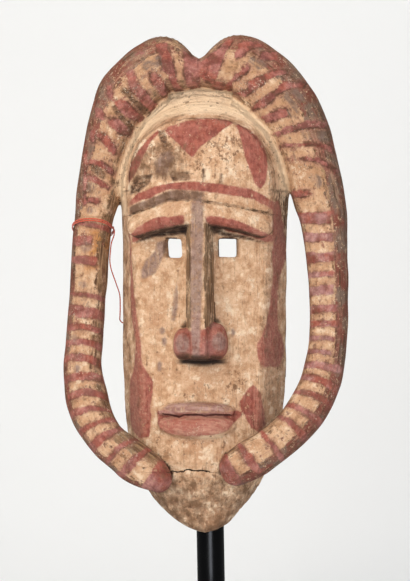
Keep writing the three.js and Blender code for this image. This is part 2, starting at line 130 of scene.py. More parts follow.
# Lips: x, y, z, half height, half depth.
UPPER_LIP = [
    (-37, -58, 128, 5, 9), (-22, -61, 130, 6, 13), (-2, -62, 130.5, 6.3, 14),
    (18, -61, 130, 6, 13), (32, -58, 128.5, 5, 9),
]
LOWER_LIP = [
    (-36, -58, 114, 7.5, 9), (-22, -61, 112, 10.5, 13), (-2, -62, 111.5, 11.5, 15),
    (18, -61, 112, 10.5, 13), (31, -58, 114, 7.5, 9),
]

# Eye holes: side by the nose, outer side behind, outer side in front.
EYES = [(-18.8, -32, -41), (18.5, 37, 44)]
EYE_LOW, EYE_HIGH = 286.0, 305.5
EYE_BEHIND, EYE_FLOOR, EYE_FRONT, EYE_CORNER = -20.0, -40.0, -57.0, 3.0

# Horns: x, y, z, half width, half depth, from the notch to the tip.
LEFT_HORN = [
    (13, -18, 474.5, 7.5, 12), (4, -18, 477, 11.5, 19), (-15, -18, 480.5, 18.5, 24),
    (-39, -18, 486.5, 31, 25), (-53, -18, 481, 31.5, 26), (-66, -18, 471.5, 31, 26),
    (-80, -18, 456, 30.5, 26), (-91, -18, 436, 27, 25.5), (-98, -18, 412.5, 25, 25),
    (-105, -18, 385.5, 23, 23), (-109, -18, 356, 23, 22), (-114.5, -19, 328, 20, 21),
    (-118, -21, 292, 19.3, 19.5), (-119.5, -24, 261, 19.2, 19), (-123, -32, 198, 19.2, 19),
    (-124, -38, 172, 19.6, 19), (-118.5, -46, 141.5, 22, 19), (-111, -53, 121.5, 21, 19),
    (-96.7, -60, 99.3, 19.5, 18), (-78, -64, 84.3, 20.5, 17), (-63.5, -66, 73.2, 21, 16),
    (-48.5, -67, 64, 18.5, 15), (-41, -67, 58.5, 15.5, 15),
]
RIGHT_HORN = [
    (-18, -18, 474.5, 7.5, 12), (-10, -18, 477, 11.5, 19), (8, -18, 480.5, 18.5, 24),
    (32, -18, 487, 30.5, 25), (44, -18, 484, 33, 26), (57, -18, 475, 33.2, 26),
    (69, -18, 464, 34, 26), (82, -18, 449, 33, 26), (93, -18, 435, 31.5, 25.5),
    (103, -18, 415, 30, 25), (111, -18, 390, 28.4, 24), (121, -18, 348, 27.2, 22),
    (126.5, -19, 323, 24.3, 21), (131, -24, 268, 21, 20), (131.5, -33, 206, 19.8, 19),
    (126.5, -40, 166, 20.6, 19), (119, -46, 145, 20.8, 19), (108.8, -52, 126.6, 20.9, 18.5),
    (93.6, -59, 107.8, 19.8, 18), (72.8, -64, 90.6, 19.8, 17), (50, -67, 76.5, 20, 16),
    (38, -68, 69, 18.5, 16),
]
HORN_POWER, BROW_SECTION, LIP_SECTION = 2.4, 2.2, 2.6

# Sizes of the fillets, in mm, where one form meets another or an edge is rounded.
FRONT_FILLET, ARCH_FILLET, BACK_FILLET, HOLLOW_FILLET = 4.0, 1.6, 4.5, 9.0
ARCH_STARTS = (340.0, 372.0)
BROW_FILLET, LIP_FILLET, WING_FILLET, NOSE_FILLET = 8.0, 3.5, 3.5, 2.5
RIM_FILLET, HOLE_FILLET = 1.5, 1.2
HORN_FILLET, HORN_ROOT_FILLET, HORN_ROOT = 2.2, 14.0, (315.0, 375.0)
RIDGE_FILLET, NOSE_END_FILLET, NOSE_BEHIND = 3.0, 2.0, 8.0

# Thread
THREAD_RADIUS = 0.7
THREAD_CLEARANCE = 1.4
THREAD_TURNS, THREAD_PITCH, THREAD_HEIGHT, THREAD_TILT = 2, 2.0, 318.5, 9.5
POINTS_A_TURN = 20
ROUTE_STEPS, STEPS_BETWEEN = 289, 3  # the cord's stated route, and the mesh's finer steps
THREAD_SIDES, THREAD_FLATNESS = 10, 0.85
THREAD_MIDDLE, THREAD_HALF_SIZE = (-115.5, -19.7), (20.0, 21.0)
THREAD_RUN = [
    (-93.1, -19, 315), (-93.8, -18, 309), (-96, -20, 302), (-97, -21, 293), (-97.6, -21, 283.5),
    (-96.6, -19.4, 275), (-92.2, -11.5, 259), (-89.5, -3, 247), (-89.1, -2.6, 238),
    (-89, -3.4, 231), (-89.4, -2, 225), (-89.8, 0.8, 221), (-88, 3, 218.2), (-83.8, 3.4, 217),
    (-79, 3.2, 216.6), (-75.4, 1.4, 216.4), (-72.6, -2.2, 216.4), (-70, -5.4, 216.4),
    (-67.8, -8, 216.4),
]
KNOT_RADIUS = 1.8
JOINT_GAP = 0.3

# Camera: its turn to the mask's left, distance and aim in the mask's frame, in mm, and the
# view in pixels: its middle, its height and its focal length.
CAMERA_TURN, CAMERA_DISTANCE = math.radians(5.5), 2600.0
CAMERA_AIM = (3.4, -30.0, 251.8)
VIEW_MIDDLE, VIEW_HEIGHT, VIEW_FOCAL = (205.0, 290.5), 581, 2500.0

# Stage: the lamps' name, place and size in metres, share of the key light's power and colour.
LAMPS = [
    ("key", (-1.3, -2.2, 1.9), (1.8, 1.8), 1.0, "#FFF8EE"),
    ("fill", (2.0, -2.0, 1.0), (2.2, 2.2), 0.36, "#F7F8FF"),
    ("front", (-0.44, -2.6, 0.78), (0.5, 1.5), 0.28, "#FFFFFF"),
    ("top", (0.0, 0.1, 2.6), (2.0, 2.0), 0.5, "#FFFFFF"),
    ("glint", (0.24, -2.5, -0.2), (0.9, 0.5), 0.27, "#EEF3FF"),
]
LAMP_AIM = (0, 0, 0.38)
MIRRORED_LAMPS, ONLY_MIRRORED_LAMP = ("front", "glint"), "glint"
WORLD_STRENGTH = 0.22
BEND_STEPS = 12

# Stand
STEEL = "satin black enamel on steel"
ROD_RADIUS = 14.3
ROD_TOP = CHIN_HEIGHT + 431.2
ROD_EDGE, ROD_SIDES, ROD_STEPS, DOME_STEPS = 0.8, 96, 6, 12
PLATE_SIDE, PLATE_THICKNESS, PLATE_CORNER, PLATE_EDGE = 180.0, 10.0, 6.0, 1.5
CORNER_STEPS, EDGE_STEPS = 8, 6

# Paint on the face. Each outline was read in an enlargement of the view from the front:
# the enlargement's name, how far before the back edge the paint lies, in mm, and its points,
# across and down from the enlargement's top left corner. on_face() turns them into x, z.
ENLARGEMENTS = {  # left edge, top edge, times
    "photo": (0, 0, 1), "forehead": (110, 105, 8.25), "brows": (118, 205, 5.172),
    "nose": (130, 230, 7.294), "chin": (60, 380, 9.8),
}
FACE_RED = [
    # the triangle on the forehead, and a crescent on each side of it
    ("forehead", 66, [(440, 190), (560, 145), (700, 110), (850, 105), (960, 115), (1010, 140),
        (950, 180), (860, 260), (760, 330), (680, 440), (620, 380), (540, 300), (450, 220)]),
    ("forehead", 57, [(400, 200), (300, 290), (220, 390), (170, 480), (145, 570), (150, 640),
        (185, 600), (240, 500), (280, 410), (330, 320), (380, 260), (410, 230)]),
    ("forehead", 57, [(1040, 150), (1130, 190), (1210, 250), (1270, 350), (1300, 440), (1300, 530),
        (1290, 620), (1270, 660), (1240, 690), (1200, 660), (1180, 600), (1150, 520), (1120, 430),
        (1100, 340), (1070, 240), (1040, 170)]),
    # the band over the brows, and the brows
    ("forehead", 64, [(150, 790), (220, 730), (330, 690), (430, 660), (540, 640), (700, 635),
        (850, 645), (1000, 670), (1150, 690), (1260, 740), (1350, 800), (1390, 840), (1370, 880),
        (1290, 830), (1180, 780), (1060, 755), (900, 730), (760, 715), (600, 700), (500, 700),
        (400, 730), (340, 770), (240, 790), (150, 830)]),
    ("brows", 70, [(52, 165), (62, 148), (85, 125), (110, 108), (140, 90), (175, 75), (205, 65),
        (240, 58), (270, 61), (300, 58), (345, 53), (346, 97), (320, 102), (290, 110), (260, 121),
        (230, 127), (200, 131), (170, 139), (140, 149), (115, 160), (95, 174), (70, 192),
        (55, 192)]),
    ("brows", 70, [(455, 62), (480, 58), (520, 61), (560, 68), (600, 75), (640, 88), (670, 100),
        (700, 115), (740, 132), (770, 145), (797, 158), (797, 190), (760, 188), (720, 178),
        (690, 167), (660, 157), (630, 149), (600, 142), (570, 137), (540, 129), (510, 121),
        (480, 109), (460, 88)]),
    # the strips down the front's edges, and the diamond
    ("photo", 50, [(271, 203), (277, 200), (278.4, 208.7), (282.8, 237.4), (283.7, 256.6),
        (280.8, 266), (277.5, 275.7), (275.6, 294.8), (275.6, 314), (276, 328), (280, 340),
        (281.5, 350), (280, 360), (277, 368), (262, 367), (257.5, 357), (256.5, 346), (261, 336),
        (264.6, 328), (267.4, 314), (269.8, 294.8), (271.7, 275.7), (270.8, 256.6), (272.5, 240),
        (272.7, 208.7)]),
    ("photo", 52, [(253, 385), (257, 389), (261, 394), (262, 405.5), (264, 419), (265, 426),
        (258, 432), (251, 428), (248, 422), (245, 415), (241, 409.6), (239, 401.4), (244, 395),
        (248, 389)]),
    ("photo", 48, [(127.4, 234), (128.5, 276), (128.5, 307), (131, 324), (135, 343), (133.5, 358),
        (131, 372), (127, 381), (126.5, 400), (127, 420), (130, 432), (138, 438), (150, 437),
        (151, 425), (152, 415), (151, 405), (153, 395), (153.8, 380), (147, 372), (141.3, 362.7),
        (141, 343.5), (139.4, 334), (136, 314.8), (133.7, 295.7), (131, 267), (129, 234)]),
    # the tip of the nose with its nostrils, and the lips
    ("nose", 78, [(310, 800), (315, 760), (340, 725), (390, 705), (430, 735), (450, 740),
        (560, 720), (600, 670), (640, 660), (690, 700), (712, 760), (712, 880), (690, 940),
        (640, 975), (400, 975), (330, 940), (308, 880)]),
    ("photo", 72, [(155, 411), (163, 410), (197, 412.5), (226, 412), (236, 411), (243, 414),
        (238, 420), (233, 424), (228, 431), (215, 435), (195, 437), (172, 435), (160, 430),
        (156, 422)]),
]
FACE_GREY = [
    # the leaf below the left eye, a stain and spots on the cheeks
    ("nose", 52, [(240, 75), (270, 100), (240, 190), (225, 230), (185, 310), (110, 355), (75, 350),
        (80, 290), (110, 220), (180, 150), (190, 90)]),
    ("nose", 54, [(345, 380), (350, 480), (350, 560), (330, 670), (300, 660), (310, 560),
        (325, 460), (340, 390)]),
    ("nose", 55, [(235, 706), (254, 718), (256, 748), (238, 764), (217, 752), (214, 722)]),
    ("nose", 55, [(250, 776), (270, 794), (266, 840), (250, 854), (236, 838), (232, 796)]),
    ("nose", 55, [(752, 716), (766, 732), (760, 768), (748, 784), (738, 764), (740, 730)]),
    ("nose", 55, [(212, 954), (231, 972), (227, 1020), (213, 1036), (200, 1018), (196, 974)]),
    # under the band, grey as painted shade of its recess, the washed part of the forehead, and the
    # upper lip
    ("forehead", 64, [(340, 770), (500, 705), (620, 705), (790, 720), (790, 760), (700, 780),
        (600, 780), (480, 790), (380, 830), (250, 870), (150, 910), (150, 840), (240, 800)]),
    ("forehead", 66, [(400, 400), (500, 370), (540, 420), (500, 500), (460, 590), (380, 560),
        (370, 470)]),
    ("photo", 74, [(163, 409), (168, 404.5), (180, 403), (197, 402.5), (215, 403.5), (226, 405),
        (232, 410), (226, 412), (197, 412), (170, 412)]),
]
FACE_DARK = [
    # streaks, dashes and ticks on the forehead
    ("forehead", 58, [(210, 590), (360, 570), (340, 640), (240, 720), (160, 740), (170, 650)]),
    ("forehead", 68, [(490, 560), (660, 550), (660, 620), (520, 630)]),
    ("forehead", 64, [(390, 210), (440, 200), (480, 330), (440, 350), (400, 270)]),
    ("forehead", 68, [(760, 520), (780, 520), (785, 640), (765, 640)]),
    ("forehead", 68, [(905, 570), (925, 570), (925, 650), (905, 650)]),
    ("forehead", 66, [(870, 735), (885, 735), (885, 775), (870, 775)]),
    # painted shade: the brows' undersides, drawn dark
    ("brows", 70, [(346, 103), (320, 107), (290, 115), (260, 126), (230, 132), (200, 136),
        (170, 143), (140, 153), (115, 164), (95, 178), (70, 195), (120, 180), (160, 166),
        (200, 162), (240, 160), (280, 158), (320, 150), (350, 140)]),
    ("brows", 70, [(462, 94), (480, 115), (510, 127), (540, 135), (570, 142), (600, 147),
        (630, 154), (660, 162), (690, 171), (720, 182), (760, 192), (740, 196), (700, 183),
        (660, 176), (620, 169), (580, 165), (540, 160), (515, 150), (500, 140), (480, 120)]),
]
# Paint on the horns, read on a grid of millimetres laid over the view: x, z.
HORN_RED = [
    # the left horn, from the notch round and down
    [(-19.5, 501.5), (-0.5, 491), (0.5, 483.5), (-1, 468), (-6.5, 461.5), (-12, 461.5),
     (-15.5, 464), (-17, 475.5), (-18.5, 488)],
    [(-47.5, 509.5), (-35, 509), (-33, 501), (-29.5, 493), (-26.5, 483.5), (-25.5, 472),
     (-23.5, 467.5), (-20, 461), (-29, 460), (-31.5, 467.5), (-35, 476.5), (-39, 480),
     (-42, 488.5), (-44.5, 496.5)],
    [(-54.5, 478.5), (-47, 479), (-42, 472), (-37, 466), (-34.5, 460), (-33.5, 457.5), (-40, 453),
     (-42.5, 455.5), (-46, 460), (-50.5, 466.5), (-52.5, 472)],
    [(-79.5, 479), (-70.5, 483), (-68.5, 475.5), (-66, 469), (-61.5, 464), (-57, 459),
     (-52.5, 453), (-47, 446.5), (-47, 443), (-50.5, 439.5), (-53.5, 437.5), (-60.5, 444),
     (-66, 451), (-70.5, 455.5), (-73, 460), (-75, 467.5)],
    [(-88.5, 449.5), (-82.5, 450.5), (-76, 447.5), (-69.5, 442), (-64, 436), (-59, 431.5),
     (-60.5, 428), (-66, 428), (-72.5, 429), (-78.5, 431.5), (-83, 436), (-87, 441.5), (-89, 445)],
    [(-99.5, 465), (-94, 466), (-92, 459.5), (-88.5, 450.5), (-89.5, 446), (-95, 450.5),
     (-98.5, 456)],
    [(-100.5, 429.5), (-94, 431.5), (-87.5, 430.5), (-82.5, 427), (-77, 422.5), (-73, 419),
     (-74, 414.5), (-77, 412), (-82.5, 413.5), (-87.5, 416), (-92, 420), (-96, 424.5)],
    [(-112, 443), (-101.5, 439.5), (-100.5, 432), (-102, 428.5), (-109.5, 431)],
    [(-107.5, 417), (-97.5, 413.5), (-94, 410), (-90.5, 404.5), (-87.5, 398), (-87, 394.5),
     (-90.5, 392.5), (-96, 396.5), (-100.5, 402), (-105, 407.5), (-109.5, 412.5)],
    [(-116, 388.5), (-104, 387.5), (-95, 380.5), (-90.5, 376), (-92, 372.5), (-99, 376),
     (-104, 380), (-110, 382), (-116, 383.5)],
    [(-118, 371), (-113.5, 372.5), (-107.5, 369.5), (-102, 365.5), (-95, 361), (-94, 360),
     (-97.5, 357), (-102, 358.5), (-107.5, 362), (-113, 365.5), (-118, 367)],
    [(-120, 349.5), (-113.5, 349.5), (-106.5, 348), (-105.5, 344.5), (-109, 340.5), (-113.5, 342),
     (-119.5, 344)],
    [(-123.5, 394), (-119.5, 394), (-119.5, 340), (-123.5, 340)],
    [(-116, 406), (-116, 419), (-110, 419), (-110, 406)],
    [(-68, 496), (-68, 500), (-58, 500), (-58, 496)],
    # the right horn, from the notch round and down
    [(0, 490.5), (11.5, 497.5), (21, 506), (28, 512), (35, 514), (33, 508.5), (27, 499),
     (23.5, 490.5), (20.5, 482.5), (17, 474), (13, 465), (10, 462.5), (9.5, 467), (4.5, 468.5),
     (0, 470)],
    [(10.5, 462.5), (14, 468), (22, 470), (24.5, 466), (23.5, 461.5), (20, 458), (13, 461)],
    [(40, 509.5), (58.5, 511), (63.5, 505.5), (51.5, 501), (47, 494), (42, 493), (37.5, 492),
     (35, 494.5), (38.5, 502.5)],
    [(49.5, 488), (51.5, 482), (47, 476.5), (40, 471), (33, 465), (31.5, 460.5), (26, 458.5),
     (24.5, 462), (28, 467.5), (35, 474.5), (42, 480)],
    [(35, 456), (42, 459), (49.5, 460.5), (49.5, 467.5), (58.5, 472), (68, 476.5), (80, 479.5),
     (89.5, 480.5), (90.5, 474.5), (80, 473.5), (70.5, 469), (63.5, 463.5), (56.5, 458.5),
     (49.5, 454), (42, 452)],
    [(51.5, 439), (56.5, 446), (63.5, 450.5), (70.5, 454), (77.5, 458.5), (82, 463), (89.5, 467.5),
     (101, 468.5), (109.5, 467.5), (108, 461.5), (94, 459.5), (87, 457), (80, 452.5), (73, 445.5),
     (67, 441), (58.5, 439)],
    [(61, 430.5), (69.5, 434), (79, 438), (89.5, 440.5), (90.5, 431), (82, 429), (74, 426.5),
     (68, 425.5)],
    [(73, 413.5), (80, 417), (89.5, 420), (101, 423.5), (110.5, 427), (129.5, 426.5),
     (130.5, 419.5), (115, 419.5), (103.5, 418.5), (98.5, 415.5), (89.5, 414.5), (80, 411.5)],
    [(81, 403), (91.5, 404), (104.5, 404.5), (115, 405), (128, 403.5), (137.5, 398.5),
     (140, 391.5), (129.5, 397.5), (118.5, 401.5), (108, 400.5), (94, 399.5), (82, 399.5)],
    [(89.5, 387.5), (98.5, 388.5), (113, 389.5), (123.5, 389), (133, 382), (141, 376), (140, 371),
     (130.5, 378.5), (117.5, 384.5), (103.5, 386), (91.5, 385.5)],
    [(91.5, 354), (101, 356), (111.5, 355.5), (115, 351), (105.5, 347.5), (94, 348)],
    [(61, 490), (61, 499), (79, 499), (79, 490)],
]
HORN_GREY = [
    # the left horn
    [(-61.5, 489), (-51.5, 491), (-44.5, 489), (-42.5, 482.5), (-47, 479), (-55, 478.5),
     (-60.5, 482)],
    [(-48, 478), (-48, 496), (-40, 496), (-40, 478)],
    [(-75, 460), (-75, 469), (-65, 469), (-65, 460)],
    [(-118.5, 364), (-113.5, 363.5), (-109, 359), (-104.5, 355), (-109, 351.5), (-116, 351),
     (-119, 355.5)],
    # the right horn
    [(49.5, 494), (57.5, 492.5), (56.5, 482), (51.5, 481), (49.5, 487)],
    [(57.5, 490.5), (75, 490), (75, 484), (66, 482), (56.5, 479.5)],
    [(86, 457), (101, 461), (107, 456), (109.5, 449), (103.5, 444.5), (93, 443.5), (86, 447.5)],
    [(90.5, 442.5), (101, 443.5), (101, 433), (99, 428.5), (91.5, 430), (89.5, 436)],
    [(103.5, 417.5), (115, 418.5), (127, 416), (129.5, 409), (117.5, 407), (105.5, 408)],
    [(109.5, 373.5), (117.5, 373), (124.5, 369.5), (128, 361), (122, 357.5), (114, 362.5),
     (110.5, 368.5)],
]
HORN_DARK = [
    [(-116.5, 383), (-109, 381.5), (-100.5, 375), (-99, 369.5), (-102, 367), (-107.5, 371),
     (-113.5, 375)],
]
# Round spots: middle x, z, half width, half height.
GREY_SPOTS = [
    (-116.5, 335.5, 4, 4), (-120, 297, 6, 6), (-123, 258, 5, 4), (-131, 203, 4, 5), (-127, 171, 4, 4),
]
DARK_SPOTS = [(-93.5, 365.5, 2, 3), (-87.5, 364, 2, 3.5)]
# Dark grooves between the stripes: x, z of both ends and the half width.
DARK_GROOVES = [(-80, 460, -54, 433, 3), (-90, 441, -73, 421, 2.5)]
# Grey centres of the nostrils: middle x, z, half width, half height.
NOSTRIL_SPOTS = [(-15, 197.8, 7, 9.8), (22, 199.3, 6.9, 9.2)]
# The grey down the ridge of the nose: height, middle x, half width.
RIDGE_GREY = [(184, -0.6, 4.1), (188, -0.6, 4.1), (257.4, -0.4, 6.4), (346, 0.5, 6.4)]
# Carved lines, from end to end, read as the paint was: over the brows, and across the chin.
BROW_RECESS = ("forehead", 64, [
    (150, 910), (250, 870), (380, 830), (480, 790), (600, 780), (700, 780), (800, 800),
    (1072, 841), (1320, 899),
])
CHIN_CRACK = ("chin", 64, [
    (1090, 900), (1200, 900), (1240, 880), (1330, 890), (1400, 885), (1470, 905),
])
RECESS_DEPTH, RECESS_HALF, CRACK_DEPTH, CRACK_HALF = 1.7, 2.8, 1.1, 1.8
MOUTH_SLIT = [
    (-36, 125), (-27, 124), (-19, 122), (-15, 124.3), (0, 124.5), (8, 123.3), (18, 125), (33, 124),
]
# The painted shadow under the nose, a black band, and a worn patch on the lower lip, as ovals.
UNDER_NOSE, WORN_LIP = (3, 178.5, 24, 3.5), (10, 103.5, 14, 3.5)
# Red rings further down, where each begins and ends along the horn's middle line, in mm:
# at the outer side, in the middle and at the inner side.
LEFT_RINGS = [
    (245.5, 248, 246.5, 250.5, 247.5, 254), (262, 272, 260, 270, 260, 270),
    (282, 288, 281.5, 291, 286, 297), (319, 323, 320.5, 325, 323, 329),
    (333, 344, 334.5, 347, 338, 348), (353, 362, 353, 360, 357, 363),
    (372.5, 381, 369.5, 376.5, 371.5, 380.5), (388, 394, 386.5, 395, 391, 403),
    (407, 413.5, 405.5, 415.5, 411, 421), (428, 433.5, 424.5, 433.5, 435, 444),
    (441, 448, 445, 451, 456, 461), (461, 467, 462, 467.5, 467, 474),
    (475, 483, 476, 485.5, 484, 490), (494, 500, 497, 502.5, 504, 509),
    (512, 519, 515, 524, 522, 528), (540, 600, 540, 600, 540, 600),
]
RIGHT_RINGS = [
    (246.8, 259.2, 242, 255.5, 235.3, 249.5), (267, 276.5, 265, 274, 261, 272),
    (284.5, 295, 285.5, 295, 283, 296), (306.5, 311.7, 305.3, 311.4, 304.3, 311.3),
    (320.5, 329, 320, 330.5, 321, 330.4), (340.5, 348, 340.5, 348.5, 341.2, 349.7),
    (357.5, 364, 357.5, 364, 356.7, 364.6), (375.5, 383, 373.3, 378, 374, 379),
    (388.7, 396.7, 388, 393, 388.2, 392.7), (401, 409, 401.5, 409.5, 403, 412),
    (420, 428.3, 417, 426, 419.8, 427.6), (434, 441, 436, 442, 442.7, 448),
    (453.5, 462.5, 455.5, 462.5, 460, 466.3), (474.5, 483, 474, 480, 477.2, 481.5),
    (502, 506.5, 502.3, 508, 503.5, 508.5), (526, 531.5, 527, 537, 530.8, 535),
    (549, 600, 549, 600, 549, 600),
]
RINGS_START = 232.0
RING_HALF_WIDTH = 13.0
# How far out the upper rings reach, as a share of the half width, and where they widen again.
LEFT_SHORT, LEFT_SHORT_START, LEFT_SHORT_END = (-0.2, -0.5), 256.0, (275.0, 300.0)
RIGHT_REACH, RIGHT_WIDENS = 0.42, (396.0, 416.0)

# Parts of the face, in mm: the middle's x, the half width, z from and to, and the y of the
# plane that they lie in front of, or behind.
LIPS_AREA, NOSE_TIP_AREA = (1, 50, 98, 142, -64), (3, 36, 170, 230, -66)
NOSE_FLANKS_AREA, UNDER_NOSE_AREA = (2, 21, 214, 322, -58), (2, 32, 172, 190, -58)
UNDER_BROWS_AREA, BEHIND_NOSE_AREA = (0, 76, 284, 326, -38), (3, 40, 160, 232, -62)
LIPS_PART = 124.0
# Stretches along the left horn, and bands across the forehead: start, full, fading and end.
BARE_PATCH, OCHRE_STRETCH = (480.0, 492.0, 514.0, 526.0), (246.0, 258.0, 290.0, 304.0)
WASH_BAND, SPECKLE_BAND = (362.0, 368.0, 398.0, 412.0), (360.0, 372.0, 405.0, 422.0)
UNDER_BAND_ROW = slice(6, 7)  # the row of FACE_GREY under the band, where painted shade lies too
FAR = 20.0  # stands for any distance that is too far to matter, in mm
PAINT_MARGIN = 12.0
ARCH_RADIUS, ARCH_SIDES = 84.0, (345.0, 350.0)
HOLLOW_DEPTH = 3.0  # how near the hollow, in mm, the wood is taken to be bare

# Carving: the box that is carved from, in mm, how far to each side the slope is measured, the
# flattest slope that is trusted, and the longest single move onto the surface.
CARVED_BOX = (-150.0, -93.0, -5.0), (158.0, 13.0, 525.0)
SLOPE_REACH, FLATTEST_SLOPE, LONGEST_MOVE = 0.4, 0.2, 1.2
# Tool marks: their size across and their depth, in mm, and their size over their length.
BROAD_SIZE = 22.0
SMALL_SIZE, SMALL_DEPTH, SMALL_DRAWN = 8.0, 0.25, 0.5
ADZE_SIZE, ADZE_DEPTH, ADZE_DRAWN = 14.0, 1.4, 0.6


def smoothstep(value, low, high, bottom=0.0, top=1.0):
    t = np.clip((value - low) / (high - low), 0.0, 1.0)
    return bottom + (top - bottom) * t * t * (3 - 2 * t)


def mix(a, b, share):
    return a + (b - a) * share


def through(stations, place):
    """A smooth curve through stations of (place, value), as the CAD source has it."""
    xs, vs = (np.array(column, float) for column in zip(*stations))
    before = np.maximum(np.arange(len(xs)) - 1, 0)
    after = np.minimum(np.arange(len(xs)) + 1, len(xs) - 1)
    slopes = (vs[after] - vs[before]) / (xs[after] - xs[before])
    i = np.clip(np.searchsorted(xs, place) - 1, 0, len(xs) - 2)
    h = xs[i + 1] - xs[i]
    t = np.clip((place - xs[i]) / h, 0.0, 1.0)
    ends = vs[i] * (1 + 2 * t) * (1 - t) ** 2 + vs[i + 1] * t * t * (3 - 2 * t)
    return ends + h * t * (1 - t) * (slopes[i] * (1 - t) - slopes[i + 1] * t)


def smooth_min(a, b, blend):
    """The union of two solids with a fillet of about this size between them."""
    h = np.clip(0.5 + 0.5 * (b - a) / blend, 0.0, 1.0)
    return mix(b, a, h) - blend * h * (1 - h)


def smooth_max(a, b, blend):
    return -smooth_min(-a, -b, blend)


def value_noise(points, grain, seed):
    """Smooth noise from -1 to 1 with bumps of this size, the same for the same seed."""
    side = 32
    lattice = np.random.default_rng(seed).uniform(-1, 1, (side, side, side)).astype(np.float32)
    cell = points / grain
    low = np.floor(cell).astype(int)
    t = cell - low
    t = t * t * (3 - 2 * t)
    total = 0.0
    for dx in (0, 1):
        for dy in (0, 1):
            for dz in (0, 1):
                i, j, k = ((low + (dx, dy, dz)) % side).T
                weight = (
                    (t[:, 0] if dx else 1 - t[:, 0])
                    * (t[:, 1] if dy else 1 - t[:, 1])
                    * (t[:, 2] if dz else 1 - t[:, 2])
                )
                total = total + lattice[i, j, k] * weight
    return total


def polygon_distance(x, z, outline):
    """Signed distance to a closed outline in x, z: negative inside."""
    ends = np.array(outline, float)
    nearest = np.full(np.shape(x), np.inf)
    inside = np.zeros(np.shape(x), bool)
    for (ax, az), (bx, bz) in zip(ends, np.roll(ends, -1, axis=0)):
        ex, ez = bx - ax, bz - az
        t = np.clip(((x - ax) * ex + (z - az) * ez) / max(ex * ex + ez * ez, 1e-9), 0.0, 1.0)
        nearest = np.minimum(nearest, (x - ax - t * ex) ** 2 + (z - az - t * ez) ** 2)
        if az != bz:
            inside ^= ((az > z) != (bz > z)) & (x < ex * (z - az) / ez + ax)
    return np.where(inside, -1, 1) * np.sqrt(nearest)


def camera_axes():
    """The camera's right and back, in the mask's frame."""
    sine, cosine = math.sin(CAMERA_TURN), math.cos(CAMERA_TURN)
    return Vector((cosine, sine, 0)), Vector((sine, -cosine, 0))


def on_face(view, depth, points):
    """Points read in an enlargement of the front view, as x, z on the plane at this depth."""
    left_edge, top_edge, times = ENLARGEMENTS[view]
    right, back = camera_axes()
    eye = Vector(CAMERA_AIM) + back * CAMERA_DISTANCE
    made = []
    for across, down in points:
        sideways = (left_edge + across / times - VIEW_MIDDLE[0]) / VIEW_FOCAL
        upwards = (VIEW_MIDDLE[1] - top_edge - down / times) / VIEW_FOCAL
        ray = right * sideways - back + Vector((0, 0, upwards))
        place = eye + ray * ((-depth - eye.y) / ray.y)
        made.append((place.x, place.z))
    return made


def stretch(value, ends):
    """1 in the middle of a stretch, fading to 0 at its ends."""
    start, full, fading, end = ends
    return smoothstep(value, start, full) * smoothstep(value, end, fading)


def above_line(x, z, line):
    """How far above a line each place is, growing fast beyond the line's ends."""
    xs, zs = zip(*line)
    beyond = np.maximum(np.maximum(xs[0] - x, x - xs[-1]), 0.0)
    return (z - np.interp(x, xs, zs)) * (1 + 1.5 * beyond)


def outline_points(low, half_width, arch, wall=0.0, crown=0.0):
    """A face outline, drawn in by the wall, and at the top by the crown's extra as well."""
    arch_width, arch_height, power = arch
    foot = half_width[-1][0]
    z = low + (foot - low) * np.linspace(0, 1, 70) ** 1.5
    x = np.maximum(through(half_width, z) - wall, 0)
    angle = np.linspace(0, math.pi / 2, 30)[1:]
    z = np.concatenate([
        z + wall * (1 - (z - low) / (foot - low)),
        foot + (arch_height - wall - crown) * np.sin(angle) ** (2 / power),
    ])
    x = np.concatenate([x, (arch_width - wall) * np.abs(np.cos(angle)) ** (2 / power)])
    shift = CHIN_OFFSET * np.maximum(0, 1 - z / CHIN_OFFSET_HEIGHT) ** 2
    right = list(zip(x + shift, z))
    left = list(zip(-x + shift, z))[::-1]
    return right + left[1:-1]


def catmull_rom(stations, samples):
    """Centripetal curve through the stations' first three numbers, smooth in the others too."""
    rows = np.array(stations, float)
    rows = np.vstack([2 * rows[0] - rows[1], rows, 2 * rows[-1] - rows[-2]])
    knots = [0.0]
    for a, b in zip(rows, rows[1:]):
        knots.append(knots[-1] + max(np.linalg.norm((b - a)[:3]), 1e-6) ** 0.5)
    made = []
    spans = len(rows) - 3
    for u in np.linspace(0, spans, samples):
        i = min(int(u), spans - 1)
        k0, k1, k2, k3 = knots[i:i + 4]
        p0, p1, p2, p3 = rows[i:i + 4]
        k = mix(k1, k2, u - i)
        a1 = (k1 - k) / (k1 - k0) * p0 + (k - k0) / (k1 - k0) * p1
        a2 = (k2 - k) / (k2 - k1) * p1 + (k - k1) / (k2 - k1) * p2
        a3 = (k3 - k) / (k3 - k2) * p2 + (k - k2) / (k3 - k2) * p3
        b1 = (k2 - k) / (k2 - k0) * a1 + (k - k0) / (k2 - k0) * a2
        b2 = (k3 - k) / (k3 - k1) * a2 + (k - k1) / (k3 - k1) * a3
        made.append((k2 - k) / (k2 - k1) * b1 + (k - k1) / (k2 - k1) * b2)
    return np.array(made)


# What a bar's measure() says of each place: how far outside the bar it is and how far along,
# where it lies across and outward, in mm, and its place across as a share of the half width.
Reading = namedtuple("Reading", "outside along across outward share")


